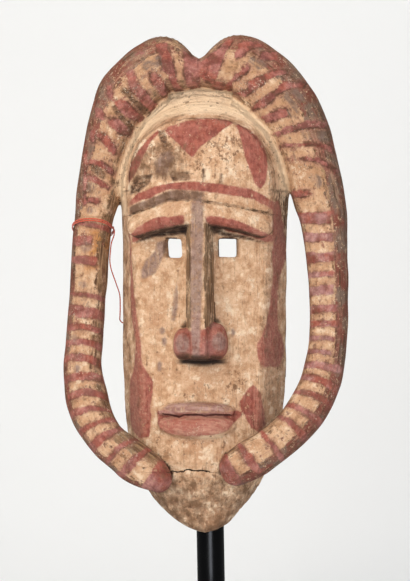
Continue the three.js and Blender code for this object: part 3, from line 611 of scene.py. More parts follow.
class Bar:
    """A rounded bar along stations of x, y, z, half width across and half depth."""

    slice_reach = 3.0  # how far a slice's taper is followed, in mm
    blunt = 0.5  # how far an end that isn't domed reaches, in mm
    core, core_depth = 0.3, 0.7  # the middle's share of the width, and the depth it is given

    def __init__(self, stations, power, samples, domed=(True, True)):
        path = catmull_rom(stations, samples)
        self.power, self.domed = power, domed
        self.centre = path[:, :3]
        self.half = path[:, 3:]
        along = np.gradient(self.centre, axis=0)
        step = np.linalg.norm(along, axis=1)
        self.along = along / step[:, None]
        across = np.cross([0.0, 1.0, 0.0], self.along)
        self.across = across / np.linalg.norm(across, axis=1)[:, None]
        self.outward = np.cross(self.along, self.across)
        gaps = np.linalg.norm(np.diff(self.centre, axis=0), axis=1)
        self.distance = np.concatenate([[0.0], np.cumsum(gaps)])
        self.growth = np.gradient(self.half, axis=0) / step[:, None]

    def measure(self, x, y, z):
        """A Reading of each place, from the nearest point of the bar's middle line."""
        shape = np.broadcast(x, y, z).shape
        best = np.full(shape, np.inf, np.float32)
        index = np.zeros(shape, np.int32)
        for i, (cx, cy, cz) in enumerate(self.centre):
            gap = (x - cx) ** 2 + (y - cy) ** 2 + (z - cz) ** 2
            nearer = gap < best
            best[nearer] = gap[nearer]
            index[nearer] = i
        offset = [np.broadcast_to(v, shape) - self.centre[index, k] for k, v in enumerate((x, y, z))]
        u, v, a = (
            sum(offset[k] * axis[index, k] for k in range(3))
            for axis in (self.across, self.outward, self.along)
        )
        inner = np.clip(a, -self.slice_reach, self.slice_reach)
        half_width = self.half[index, 0] + self.growth[index, 0] * inner
        half_depth = self.half[index, 1] + self.growth[index, 1] * inner
        section = (np.abs(u / half_width) ** self.power + np.abs(v / half_depth) ** self.power)
        section = section ** (2 / self.power)
        past = np.where((index == len(self.centre) - 1) & (a > 0), a, 0.0)
        before = np.where((index == 0) & (a < 0), a, 0.0)
        dome = np.minimum(half_width, half_depth)
        beyond = past / (dome if self.domed[1] else self.blunt)
        ahead = before / (dome if self.domed[0] else self.blunt)
        share = np.sqrt(np.maximum(section + beyond ** 2 + ahead ** 2, 1e-6))
        reach = np.sqrt(u * u + v * v + past ** 2 + before ** 2)
        outside = np.where(share > self.core, reach * (1 - 1 / share), -self.core_depth * dome)
        return Reading(outside, self.distance[index] + a, u, v, u / half_width)


class Wood:
    """The carved block as a field of distances: negative in the wood, in millimetres."""

    def __init__(self):
        self.xs = np.arange(-104.0, 105.0)
        self.zs = np.arange(-12.0, 532.0)
        grid_x, grid_z = np.meshgrid(self.xs, self.zs, indexing="ij")
        inner = {"wall": WALL, "crown": CROWN_EXTRA}
        outlines = {
            "back": outline_points(**BACK_OUTLINE),
            "front": outline_points(**FRONT_OUTLINE),
            "inner back": outline_points(**BACK_OUTLINE, **inner),
            "inner front": outline_points(**FRONT_OUTLINE, **inner),
        }
        self.maps = {
            name: polygon_distance(grid_x, grid_z, line) for name, line in outlines.items()
        }
        self.horns = [Bar(rows, HORN_POWER, 190, (False, True)) for rows in (LEFT_HORN, RIGHT_HORN)]
        self.brows = [Bar(self.brow_stations(side), BROW_SECTION, 24) for side in (-1, 1)]
        self.lips = [Bar(rows, LIP_SECTION, 28) for rows in (UPPER_LIP, LOWER_LIP)]

    def brow_stations(self, side):
        places = np.array(BROW_PLACES, float)
        columns = [
            side * places, -through(BROW_DEPTH, places), self.brow_height(places),
            through(BROW_HALF_HEIGHT, places), through(BROW_HALF_DEPTH, places),
        ]
        return list(zip(*columns))

    @staticmethod
    def brow_height(x):
        return BROW_TOP - BROW_DROP * (np.abs(x) / BROW_REACH) ** BROW_POWER

    def look_up(self, name, x, z):
        """The distance map's value at any place, between its points as well."""
        table = self.maps[name]
        fx = np.clip(x - self.xs[0], 0, len(self.xs) - 1.001)
        fz = np.clip(z - self.zs[0], 0, len(self.zs) - 1.001)
        i, k = fx.astype(int), fz.astype(int)
        tx, tz = fx - i, fz - k
        low = mix(table[i, k], table[i + 1, k], tx)
        high = mix(table[i, k + 1], table[i + 1, k + 1], tx)
        return mix(low, high, tz)

    def front_depth(self, x, z, rim, brow_step):
        """How far the front stands before the back edge at x, z. rim is the outline's name."""
        from_spine = np.hypot(x, z - np.clip(z, SPINE_LOW, SPINE_HIGH))
        to_rim = np.maximum(-self.look_up(rim, x, z), 0)
        share = from_spine / np.maximum(from_spine + to_rim, 1e-6)
        dome = 1 - share ** DOME_POWER
        cheek = mix(through(CHEEK_EDGE, z), through(CHEEK_MIDDLE, z), dome)
        forehead = mix(FOREHEAD_EDGE, FOREHEAD_MIDDLE, dome)
        brow = self.brow_height(x)
        above = smoothstep(z, brow - brow_step / 2, brow + brow_step / 2)
        return mix(cheek, forehead, above)

    def face(self, x, y, z):
        flat_x, flat_z = np.broadcast_arrays(x, z)
        edge = -JAW_FORWARD * np.maximum(0, 1 - z / JAW_HEIGHT) ** JAW_POWER
        front = self.front_depth(flat_x, flat_z, "front", BROW_STEP)
        rim_depth = self.front_depth(flat_x * RIM_SPREAD, flat_z, "front", BROW_STEP)
        share = np.clip((edge - y) / (edge + rim_depth), 0.0, 1.0)
        over_arch = smoothstep(z, SPINE_HIGH, SPINE_HIGH + COVE_START)
        cove = COVE * np.sin(math.pi * share) * over_arch
        back_side, front_side = (self.look_up(n, flat_x, flat_z) for n in ("back", "front"))
        side = mix(back_side, front_side, share) + cove
        fillet = smoothstep(z, *ARCH_STARTS, FRONT_FILLET, ARCH_FILLET)
        block = smooth_max(side, -y - front, fillet)
        block = smooth_max(block, y - edge, BACK_FILLET)
        floor = self.front_depth(flat_x, flat_z, "inner front", INNER_STEP) - WALL
        inner_share = np.clip(-y / np.maximum(floor, 1.0), 0.0, 1.0)
        inner_back, inner_front = (
            self.look_up(n, flat_x, flat_z) for n in ("inner back", "inner front")
        )
        inner_side = mix(inner_back, inner_front, inner_share)
        hollow = smooth_max(inner_side, -y - floor, HOLLOW_FILLET)
        return block, hollow

    def nose(self, x, y, z):
        heights = np.array([row[0] for row in NOSE], float)
        middle, ridge, base, depth = (
            np.interp(z, heights, [row[k] for row in NOSE]) for k in (1, 2, 3, 4)
        )
        flank = depth - RIDGE_EDGE
        slope = (base - ridge - RIDGE_FLANK) / (flank - NOSE_ROOT)
        reach = ridge + RIDGE_FLANK + (flank + y) * slope
        side = (np.abs(x - middle) - reach) / np.sqrt(1 + slope ** 2)
        wedge = smooth_max(side, -y - depth, RIDGE_FILLET)
        ends = np.maximum(heights[0] - z, z - heights[-1])
        return smooth_max(wedge, np.maximum(ends, y + NOSE_ROOT - NOSE_BEHIND), NOSE_END_FILLET)

    def nostril(self, x, y, z, wing):
        wing_x, height, half_width, up, down = wing
        rise = np.where(z > height, up, down)
        power = NOSTRIL_POWER
        dx, dy, dz = x - wing_x, y + NOSTRIL_DEPTH, z - height
        share = (
            np.abs(dx / half_width) ** power
            + np.abs(dy / NOSTRIL_REACH) ** power
            + np.abs(dz / rise) ** power
        )
        share = np.maximum(share, 1e-3) ** (1 / power)
        return np.sqrt(dx * dx + dy * dy + dz * dz) * (1 - 1 / share)

    def eye(self, x, y, z, hole):
        near, behind, front = hole
        outer = mix(behind, front, np.clip((EYE_FLOOR - y) / (EYE_FLOOR - EYE_FRONT), 0.0, 1.0))
        across = np.abs(x - (near + outer) / 2) - np.abs(outer - near) / 2
        upwards = np.abs(z - (EYE_LOW + EYE_HIGH) / 2) - (EYE_HIGH - EYE_LOW) / 2
        return np.maximum(smooth_max(across, upwards, EYE_CORNER), y - EYE_BEHIND)

    def field(self, x, y, z):
        block, hollow = self.face(x, y, z)
        solid = block
        for bars, fillet in ((self.brows, BROW_FILLET), (self.lips, LIP_FILLET)):
            for bar in bars:
                solid = smooth_min(solid, bar.measure(x, y, z).outside, fillet)
        nose = self.nose(x, y, z)
        for wing in NOSTRILS:
            nose = smooth_min(nose, self.nostril(x, y, z, wing), WING_FILLET)
        solid = smooth_min(solid, nose, NOSE_FILLET)
        horns = np.minimum(*[bar.measure(x, y, z).outside for bar in self.horns])
        horn_fillet = smoothstep(z, *HORN_ROOT, HORN_FILLET, HORN_ROOT_FILLET)
        solid = smooth_min(solid, horns, horn_fillet)
        solid = smooth_max(solid, -hollow, RIM_FILLET)
        for hole in EYES:
            solid = smooth_max(solid, -self.eye(x, y, z, hole), HOLE_FILLET)
        return solid


def surface_net(values, origin, step):
    """Points and four-sided faces where the values on a grid change sign."""
    inside = values < 0
    cells = tuple(n - 1 for n in values.shape)
    total = np.zeros(cells + (3,), np.float32)
    count = np.zeros(cells, np.int32)
    crossings = []
    for axis in range(3):
        first = [slice(None)] * 3
        second = [slice(None)] * 3
        first[axis], second[axis] = slice(None, -1), slice(1, None)
        a, b = values[tuple(first)], values[tuple(second)]
        places = np.argwhere(inside[tuple(first)] != inside[tuple(second)])
        i, j, k = places.T
        share = a[i, j, k] / (a[i, j, k] - b[i, j, k])
        point = places.astype(np.float32)
        point[:, axis] += share
        others = [n for n in range(3) if n != axis]
        for d0 in (0, 1):
            for d1 in (0, 1):
                cell = places.copy()
                cell[:, others[0]] -= d0
                cell[:, others[1]] -= d1
                kept = np.all((cell >= 0) & (cell < cells), axis=1)
                where = tuple(cell[kept].T)
                np.add.at(total, where, point[kept])
                np.add.at(count, where, 1)
        crossings.append((axis, others, places, inside[tuple(first)][i, j, k]))
    number = np.full(cells, -1, np.int64)
    used = count > 0
    number[used] = np.arange(int(used.sum()))
    points = total[used] / count[used][:, None] * step + origin
    faces = []
    for axis, (o0, o1), places, starts_inside in crossings:
        corners = []
        for d0, d1 in ((1, 1), (0, 1), (0, 0), (1, 0)):
            cell = places.copy()
            cell[:, o0] -= d0
            cell[:, o1] -= d1
            corners.append(number[tuple(cell.T)])
        quads = np.stack(corners, axis=1)
        turned = starts_inside if axis != 1 else ~starts_inside
        quads[~turned] = quads[~turned][:, ::-1]
        faces.append(quads)
    return points.astype(float), np.concatenate(faces)


def linear(hex_colour, alpha=1.0):
    """An sRGB hex colour as the linear values that Blender's sockets take."""
    values = [int(hex_colour[k:k + 2], 16) / 255 for k in (1, 3, 5)]
    made = [v / 12.92 if v <= 0.04045 else ((v + 0.055) / 1.055) ** 2.4 for v in values]
    return (*made, alpha)


def add(tree, kind, inputs=None, **settings):
    """Adds a node: settings are its properties, inputs its sockets' values or links."""
    made = tree.nodes.new(kind)
    for name, value in settings.items():
        setattr(made, name, value)
    for key, value in (inputs or {}).items():
        socket = made.inputs[key]
        if isinstance(value, bpy.types.NodeSocket):
            tree.links.new(value, socket)
        else:
            socket.default_value = value
    return made


def new_material(name):
    """An empty material with its tree, its output and its shader."""
    material = bpy.data.materials.new(name)
    material.use_nodes = True
    tree = material.node_tree
    tree.nodes.clear()
    shader = add(tree, "ShaderNodeBsdfPrincipled")
    add(tree, "ShaderNodeOutputMaterial", {"Surface": shader.outputs["BSDF"]})
    return material, tree, shader


def mesh_object(name, points, faces, material, smooth=True):
    """A new object at the origin from points in metres and faces."""
    mesh = bpy.data.meshes.new(name)
    mesh.from_pydata([tuple(p) for p in points], [], [tuple(int(i) for i in f) for f in faces])
    mesh.validate()
    mesh.polygons.foreach_set("use_smooth", [smooth] * len(mesh.polygons))
    mesh.materials.append(material)
    mesh.update()
    made = bpy.data.objects.new(name, mesh)
    bpy.context.scene.collection.objects.link(made)
    return made


def in_part(points):
    """Points of the mask's frame, in mm, as points of the part, in metres."""
    matrix = np.array(MASK_TO_PART)
    return np.asarray(points, float) @ matrix[:3, :3].T + matrix[:3, 3]


# Materials


def painted_wood(settings):
    """Carved softwood under thin earth paints, worn through by handling.

    Pigment in a little binder gives a dead matt, dusty skin, uneven from one brush stroke to
    the next, with ragged edges where it has flaked and brown wood showing in the grooves.
    """
    # Besides paint, this colour carries painted shade under the nose and brows, in concave places, in
    # the carved recess and in the mouth's slit, and painted light in the cove and on the horns' rim.
    material, tree, shader = new_material("earth paint on carved wood")
    place = add(tree, "ShaderNodeTexCoord").outputs["Object"]
    grain = add(tree, "ShaderNodeAttribute", attribute_name="grain").outputs["Vector"]

    def noise(size_mm, detail=3.0, stretch=(1, 1, 1), rough=0.55, shift=0.0, vector=place):
        placed = add(tree, "ShaderNodeMapping", {
            "Vector": vector, "Scale": stretch, "Location": (shift, shift, shift),
        })
        made = add(tree, "ShaderNodeTexNoise", {
            "Vector": placed.outputs["Vector"], "Scale": 1000 / size_mm, "Detail": detail,
            "Roughness": rough,
        })
        return made.outputs["Fac"]

    def field(name):
        return add(tree, "ShaderNodeAttribute", attribute_name=name).outputs["Fac"]

    def maths(operation, a, b=0.0, c=0.0):
        return add(tree, "ShaderNodeMath", {0: a, 1: b, 2: c}, operation=operation).outputs[0]

    def times(*values):
        total = values[0]
        for value in values[1:]:
            total = maths("MULTIPLY", total, value)
        return total

    def ramp(value, low, high, to_low=0.0, to_high=1.0):
        made = add(tree, "ShaderNodeMapRange", {
            "Value": value, "From Min": low, "From Max": high, "To Min": to_low, "To Max": to_high,
        }, interpolation_type="SMOOTHSTEP")
        return made.outputs["Result"]

    def coats(colour, *rows):
        """Colours laid over a first one in turn: each row is how much of one shows, and the one."""
        made = linear(colour) if isinstance(colour, str) else colour
        for share, top in rows:
            top = linear(top) if isinstance(top, str) else top
            mixed = add(tree, "ShaderNodeMix", {0: share, 6: made, 7: top}, data_type="RGBA")
            made = mixed.outputs[2]
        return made

    def shifted(value, *noises):
        """value moved up or down by each noise's distance from its middle, times its amount."""
        for other, amount in noises:
            value = maths("MULTIPLY_ADD", maths("SUBTRACT", other, 0.5), amount, value)
        return value

    def edge(name, ragged, small, soft):
        """How far inside a painted area, in mm, with a brushed and flaked edge, and its share."""
        more = maths("MULTIPLY_ADD", carved, 0.5, 0.5)
        inside = shifted(
            field(name), (noise(9.0, 2.0), times(more, ragged * 2)),
            (noise(2.4, 3.0, rough=0.7), times(more, small * 2)),
        )
        return inside, ramp(inside, -soft, soft)

    def line(distance, half_width):
        """1 where this distance, in mm, is near zero."""
        return ramp(maths("ABSOLUTE", distance), half_width * 0.4, half_width, 1.0, 0.0)

    # Noises, by the size of their bumps in mm. Those with a vector run along the wood's grain.
    streak = noise(3.2, 4.0, (1, 1, 0.1), 0.62, vector=grain)
    cross_streak = noise(3.4, 4.0, (0.13, 1, 1), 0.66, shift=0.5)
    long_streak = noise(7.0, 4.0, (1, 1, 0.14), 0.6, shift=0.7, vector=grain)
    clouds = noise(22.0, 4.0, rough=0.6, shift=0.4)
    stains = noise(38.0, 5.0, rough=0.62, shift=1.7)
    middle = noise(6.0, 5.0, rough=0.7, shift=0.3)
    fine = noise(1.7, 3.0, rough=0.75)
    blots = noise(4.2, 4.0, rough=0.62, shift=0.15)
    patches = noise(12.0, 5.0, rough=0.66, shift=2.6)
    flaked = noise(7.0, 6.0, rough=0.78, shift=0.9)
    pale_flecks_and_glints = noise(2.2, 5.0, rough=0.85, shift=1.3)
    scratches = noise(3.0, 3.0, (1, 1, 0.25), 0.8, 2.1)
    wander = noise(5.0, 3.0, rough=0.7)
    carved, pale, mauve = field("carved"), field("pale"), field("mauve")

    # Each paint by itself
    bare = coats(
        "#644630", (ramp(streak, 0.36, 0.66), "#B08B66"),
        (ramp(clouds, 0.4, 0.68, 0, 0.7), "#8C7A62"),
    )
    cream = coats(
        settings.cream_shade, (ramp(middle, 0.34, 0.64), settings.cream),
        (ramp(stains, 0.46, 0.66, 0, 0.7), "#C4936F"),
        (ramp(patches, 0.5, 0.66, 0, 0.8), "#B98963"),
        (ramp(streak, 0.54, 0.7, 0, 0.5), "#A97E5B"),
        (ramp(patches, 0.47, 0.34, 0, 0.75), "#F6DEC0"),
        (ramp(fine, 0.56, 0.72, 0, 0.55), "#F2DCC0"),
        (times(carved, ramp(clouds, 0.36, 0.6, 0.2, 0.75)), "#BE8F69"),
        (times(field("ochre"), ramp(patches, 0.36, 0.56)), "#C58A52"),
        # painted light: paler cream in the cove over the arch and on the horns' rim
        (times(pale, 0.95), "#FFE2BE"),
        (times(pale, ramp(long_streak, 0.5, 0.64, 0, 0.4)), "#CDA277"),
    )
    pink = coats("#A87873", (ramp(middle, 0.35, 0.65), "#CFA29A"))
    salmon = coats("#B06A58", (ramp(cross_streak, 0.4, 0.62), "#CF9880"))
    red = coats(
        "#8A4335", (ramp(middle, 0.34, 0.66), settings.red),
        (ramp(streak, 0.52, 0.72, 0, 0.6), "#BC7F6C"),
        (ramp(long_streak, 0.56, 0.7, 0, 0.6), "#73392C"),
        (times(mauve, ramp(clouds, 0.36, 0.6)), pink),
        (times(carved, ramp(patches, 0.44, 0.6, 0, 0.7)), "#6E372C"),
        (field("worn"), salmon),
    )
    lilac = coats("#9A675E", (ramp(cross_streak, 0.42, 0.6), "#C49A92"))
    grey = coats(
        "#7A5F50", (ramp(middle, 0.3, 0.7), settings.grey),
        (ramp(blots, 0.5, 0.64, 0, 0.6), "#5C463D"),
        (times(mauve, 0.75), lilac),
        (times(carved, 0.65), "#6F5D50"),
    )
    smoke = coats(
        "#84473A", (ramp(clouds, 0.44, 0.58), "#7C6557"),
        (ramp(patches, 0.5, 0.62, 0, 0.7), "#8E5347"),
        (ramp(streak, 0.48, 0.64, 0, 0.8), "#49301F"),
        (ramp(long_streak, 0.57, 0.66, 0, 0.5), "#BF977A"),
        (ramp(shifted(blots, (fine, 0.9)), 0.6, 0.7, 0, 0.8), "#D9B792"),
    )
    # dark paint; on the brows' undersides it is painted shade
    dark_paint_and_shade_colour = coats(
        "#452E20", (ramp(shifted(cross_streak, (blots, 0.8)), 0.38, 0.62), "#76553E"),
    )

    # Where each one lies
    ground = shifted(field("ground"), (clouds, 1.3), (middle, 1.5), (streak, 0.8))
    smoked = shifted(field("smoke"), (long_streak, 1.6), (middle, 1.8))
    blotted = shifted(blots, (clouds, 0.5), (streak, 0.35))
    specks = ramp(maths("MULTIPLY_ADD", field("speckle"), 0.18, blotted), 0.67, 0.79)
    within_red, red_share = edge("red_edge", 3.0, 2.2, 1.1)
    worn_through = maths("MULTIPLY_ADD", field("ridge"), 0.22, fine)
    red_share = times(
        red_share, ramp(worn_through, 0.66, 0.84, 1.0, 0.25), ramp(flaked, 0.58, 0.66, 1, 0.25),
    )
    rubbed = times(carved, ramp(long_streak, 0.42, 0.56, 0, 0.8))
    grey_share = times(
        edge("grey_edge", 2.2, 1.8, 1.8)[1], ramp(middle, 0.3, 0.5, 0.4, 0.92),
        maths("SUBTRACT", 1.0, rubbed), ramp(streak, 0.52, 0.68, 1.0, 0.4),
    )
    # dark paint, and painted shade under the brows
    dark_paint_and_shade_share = times(
        edge("dark_paint_and_shade_edge", 2.0, 1.8, 1.4)[1],
        ramp(shifted(middle, (cross_streak, 0.5)), 0.4, 0.66, 0.95, 0.55),
    )
    smeared = times(ramp(within_red, -5.0, 0.0, 0, 0.6), maths("ADD", carved, 0.25))
    groove = times(
        line(maths("ADD", within_red, 0.2), 1.5), carved, ramp(patches, 0.42, 0.6, 0.0, 0.6),
    )
    pale_flecks_and_glints = maths("MULTIPLY_ADD", carved, 0.035, shifted(pale_flecks_and_glints, (stains, 0.5)))
    grime_and_shade_share = shifted(field("grime_and_shade"), (patches, 1.9), (middle, 1.3), (streak, 0.6))
    # painted shade along the carved recess over the brows
    recess = times(
        line(shifted(field("recess"), (wander, 4.0)), 2.2), ramp(cross_streak, 0.36, 0.6, 0.95, 0.3),
    )
    # painted shadow in the slit between the lips
    slit = line(shifted(field("slit"), (wander, 2.0)), 1.5)
    crack = line(shifted(field("crack"), (wander, 4.5)), 0.9)

    colour = coats(
        bare, (ramp(ground, 0.3, 0.6), cream),
        (ramp(smoked, 0.36, 0.6, 0, 0.95), smoke),
        (times(specks, 0.75), "#775238"),
        (times(smeared, ramp(patches, 0.36, 0.6)), "#B27C69"),
        (red_share, red),
        (grey_share, grey),
        (dark_paint_and_shade_share, dark_paint_and_shade_colour),
        (groove, "#50341F"),
        # pale flecks of paint, and painted glints, more on the horns
        (ramp(pale_flecks_and_glints, 0.63, 0.74, 0, 0.8), "#EFDCC2"),
        (ramp(scratches, 0.62, 0.7, 0, 0.5), "#7E5A41"),
        # grime, with painted shade at the nose's lower rim, in the recess under the band and under
        # the horns' tips
        (ramp(grime_and_shade_share, 0.15, 0.95, 0, 0.78), "#64462F"),
        # dirt and painted shade: darker in concave places
        (ramp(shifted(field("hollow"), (middle, 1.2)), 0.2, 0.85, 0, 0.85), "#432C1D"),
        # painted shade in the carved recess over the brows
        (recess, "#45301F"),
        # painted shadow between the lips
        (times(slit, 0.9), "#4A1A10"),
        # painted shadow: near black under the nose
        (times(field("painted_nose_shadow"), 0.95), "#22120B"),
        # painted shade under the brows, in dark streaks
        (times(field("painted_brow_shade"), ramp(cross_streak, 0.36, 0.54)), "#1E100A"),
        (crack, "#2E1E14"),
    )
    tree.links.new(colour, shader.inputs["Base Color"])
    rough = ramp(shifted(red_share, (middle, 0.9)), 0.0, 1.2, 0.88, 0.55)
    tree.links.new(rough, shader.inputs["Roughness"])
    shader.inputs["Specular IOR Level"].default_value = 0.45

    height = times(fine, 0.35)
    for raised, amount in (
        (middle, 0.8), (streak, 0.9), (red_share, 0.15), (blots, 0.5),
        (times(dark_paint_and_shade_share, cross_streak), 1.0), (times(ramp(within_red, -3.0, 1.5), carved), 0.3),
        (groove, -0.25), (crack, -0.6),
    ):
        height = maths("MULTIPLY_ADD", raised, amount, height)
    bump = add(tree, "ShaderNodeBump", {"Height": height, "Strength": 1.0, "Distance": 0.003})
    tree.links.new(bump.outputs["Normal"], shader.inputs["Normal"])
    return material


def cotton(settings):
    """Twisted two-ply cotton sewing thread: a soft, slightly fuzzy, bright orange-red."""
    material, tree, shader = new_material("twisted cotton thread")
    place = add(tree, "ShaderNodeTexCoord").outputs["Object"]
    fuzz = add(tree, "ShaderNodeTexNoise", {"Vector": place, "Scale": 2500.0, "Detail": 2.0})
    shade = add(tree, "ShaderNodeMapRange", {
        "Value": fuzz.outputs["Fac"], "From Min": 0.3, "From Max": 0.7,
    })
    colour = add(tree, "ShaderNodeMix", {
        0: shade.outputs["Result"], 6: linear("#A93A26"), 7: settings.colour,
    }, data_type="RGBA")
    tree.links.new(colour.outputs[2], shader.inputs["Base Color"])
    shader.inputs["Roughness"].default_value = 0.85
    shader.inputs["Sheen Weight"].default_value = 0.4
    return material


def blacked_steel():
    """Mild steel, sprayed with satin black enamel: an even coat that softly mirrors the room."""
    material, tree, shader = new_material(STEEL)
    place = add(tree, "ShaderNodeTexCoord").outputs["Object"]
    cloud = add(tree, "ShaderNodeTexNoise", {"Vector": place, "Scale": 60.0, "Detail": 4.0})
    rough = add(tree, "ShaderNodeMapRange", {
        "Value": cloud.outputs["Fac"], "From Min": 0.3, "From Max": 0.7,
        "To Min": 0.24, "To Max": 0.28,
    })
    tree.links.new(rough.outputs["Result"], shader.inputs["Roughness"])
    peel = add(tree, "ShaderNodeTexNoise", {"Vector": place, "Scale": 700.0, "Detail": 2.0})
    bump = add(tree, "ShaderNodeBump", {
        "Height": peel.outputs["Fac"], "Strength": 0.08, "Distance": 0.0002,
    })
    tree.links.new(bump.outputs["Normal"], shader.inputs["Normal"])
    shader.inputs["Base Color"].default_value = linear("#020203")
    shader.inputs["Specular IOR Level"].default_value = 0.25
    return material


# Sizes and colours that a user would change


def length_setting(name, description, default, low, high, precision=4):
    """A length in metres, for a group of settings."""
    return bpy.props.FloatProperty(
        name=name, description=description, default=default, min=low, max=high, unit="LENGTH",
        precision=precision,
    )


def colour_setting(name, description, hex_colour):
    """A colour, for a group of settings."""
    return bpy.props.FloatVectorProperty(
        name=name, description=description, subtype="COLOR", size=4, default=linear(hex_colour),
        min=0, max=1,
    )


class MaskSettings(bpy.types.PropertyGroup):
    cell: length_setting("Cell", "Spacing of the mask's points", 2.45 * MM, 0.001, 0.02)
    tool_marks: length_setting(
        "Tool marks", "Depth of the broad carving marks", 0.7 * MM, 0.0, 0.003,
    )
    red: colour_setting("Red", "Red earth paint", "#B46653")
    cream: colour_setting("Cream", "Pale clay ground", "#E8C3A0")
    cream_shade: colour_setting(
        "Cream, handled", "The ground where it is browned by handling", "#CC9F7B",
    )
    grey: colour_setting("Grey", "Purple-grey patches", "#AE9184")


class ThreadSettings(bpy.types.PropertyGroup):
    radius: length_setting(
        "Radius", "Half of the thread's thickness", THREAD_RADIUS * MM, 0.0001, 0.003,
    )
    twist: length_setting("Twist", "Length in which the two plies turn once", 6.0 * MM, 0.001, 0.05)
    colour: colour_setting("Colour", "Dyed cotton", "#E0603F")


class StandSettings(bpy.types.PropertyGroup):
    rod_radius: length_setting(
        "Rod radius", "Half of the rod's thickness", ROD_RADIUS * MM, 0.002, 0.05,
    )
    plate_side: length_setting(
        "Plate side", "Side of the square plate", PLATE_SIDE * MM, 0.05, 0.5, 3,
    )


class StageSettings(bpy.types.PropertyGroup):
    backdrop: colour_setting("Backdrop", "The pale sweep", "#EAEBEB")
    key_power: bpy.props.FloatProperty(
        name="Key light", description="Power of the large light at the upper left",
        default=60.0, min=0.0, subtype="POWER",
    )


# Operators


class MASK_OT_make_stage(bpy.types.Operator):
    """Makes the camera, the pale sweep and the soft studio lights"""

    bl_idname = "horned_mask.make_stage"
    bl_label = "Make the stage"

    def execute(self, context):
        settings = context.scene.stage_settings
        self.make_camera(context)
        self.make_sweep(settings)
        self.make_lights(context, settings)
        return {"FINISHED"}

    def make_camera(self, context):
        """The photograph's view: a long lens, a little from the viewer's right of straight on."""
        right, back = camera_axes()
        place = Vector(CAMERA_AIM) + back * CAMERA_DISTANCE
        rotation = Matrix((right, (0, 0, 1), back)).transposed().to_4x4()
        lens = bpy.data.cameras.new("camera")
        lens.sensor_width = 36.0
        lens.lens = lens.sensor_width * VIEW_FOCAL / VIEW_HEIGHT
        camera = bpy.data.objects.new("camera", lens)
        whole = MASK_TO_PART @ Matrix.Translation(place) @ rotation
        camera.matrix_world = Matrix.LocRotScale(whole.to_translation(), whole.to_quaternion(), None)
        context.scene.collection.objects.link(camera)
        context.scene.camera = camera

    def make_sweep(self, settings):
        """A floor that curves up into the backdrop, and that is clear from behind and below."""
        material, tree, shader = new_material("matt paper sweep")
        shader.inputs["Base Color"].default_value = settings.backdrop
        shader.inputs["Roughness"].default_value = 1.0
        shader.inputs["Specular IOR Level"].default_value = 0.1
        from_behind = add(tree, "ShaderNodeNewGeometry").outputs["Backfacing"]
        clear = add(tree, "ShaderNodeBsdfTransparent").outputs["BSDF"]
        paper = add(tree, "ShaderNodeMixShader", {
            0: from_behind, 1: shader.outputs["BSDF"], 2: clear,
        })
        output = next(node for node in tree.nodes if node.type == "OUTPUT_MATERIAL")
        tree.links.new(paper.outputs["Shader"], output.inputs["Surface"])
        near, far, bend, top, half_width = -2.7, 1.6, 0.9, 4.5, 2.5  # in metres
        profile = [(near, 0.0), (far - bend, 0.0)]
        for k in range(1, BEND_STEPS + 1):
            angle = k / BEND_STEPS * math.pi / 2
            profile.append((far - bend + bend * math.sin(angle), bend - bend * math.cos(angle)))
        profile.append((far, top))
        points = [(x, y, z) for y, z in profile for x in (-half_width, half_width)]
        faces = [(2 * k, 2 * k + 1, 2 * k + 3, 2 * k + 2) for k in range(len(profile) - 1)]
        sweep = mesh_object("sweep", points, faces, material)
        sweep.visible_glossy = sweep.visible_shadow = False

    def make_lights(self, context, settings):
        """Soft lamps. The one called glint is only mirrored: it is the rod's upright highlight."""
        aim = Vector(LAMP_AIM)
        for name, place, size, share, colour in LAMPS:
            data = bpy.data.lights.new(name, "AREA")
            data.shape, data.size, data.size_y = "RECTANGLE", *size
            data.energy = settings.key_power * share
            data.color = linear(colour)[:3]
            lamp = bpy.data.objects.new(name, data)
            lamp.location = place
            lamp.visible_camera = False
            lamp.visible_diffuse = name != ONLY_MIRRORED_LAMP
            lamp.visible_glossy = name in MIRRORED_LAMPS
            lamp.rotation_euler = (aim - Vector(place)).to_track_quat("-Z", "Y").to_euler()
            context.scene.collection.objects.link(lamp)
        world = bpy.data.worlds.new("studio")
        world.use_nodes = True
        tree = world.node_tree
        dim = tree.nodes["Background"]
        dim.inputs["Color"].default_value = linear("#F2F4F6")
        dim.inputs["Strength"].default_value = WORLD_STRENGTH
        seen = add(tree, "ShaderNodeBackground", {"Color": linear("#EEEEEC"), "Strength": 1.0})
        direct = add(tree, "ShaderNodeLightPath").outputs["Is Camera Ray"]
        both = add(tree, "ShaderNodeMixShader", {
            0: direct, 1: dim.outputs["Background"], 2: seen.outputs["Background"],
        })
        tree.links.new(both.outputs["Shader"], tree.nodes["World Output"].inputs["Surface"])
        context.scene.world = world
        context.scene.view_settings.view_transform = "Standard"


def thread_route():
    """The thread's route in the mask's frame: two turns round the horn, then its run."""
    reach = [half + THREAD_CLEARANCE for half in THREAD_HALF_SIZE]
    points = []
    for k in range(THREAD_TURNS * POINTS_A_TURN):
        turned = k / POINTS_A_TURN
        angle = -2 * math.pi * turned
        around = [
            math.copysign(abs(v) ** (2 / HORN_POWER), v) for v in (math.cos(angle), math.sin(angle))
        ]
        points.append((
            THREAD_MIDDLE[0] + around[0] * reach[0],
            THREAD_MIDDLE[1] - around[1] * reach[1],
            THREAD_HEIGHT + THREAD_TILT * math.sin(angle) - THREAD_PITCH * turned,
        ))
    return points + THREAD_RUN


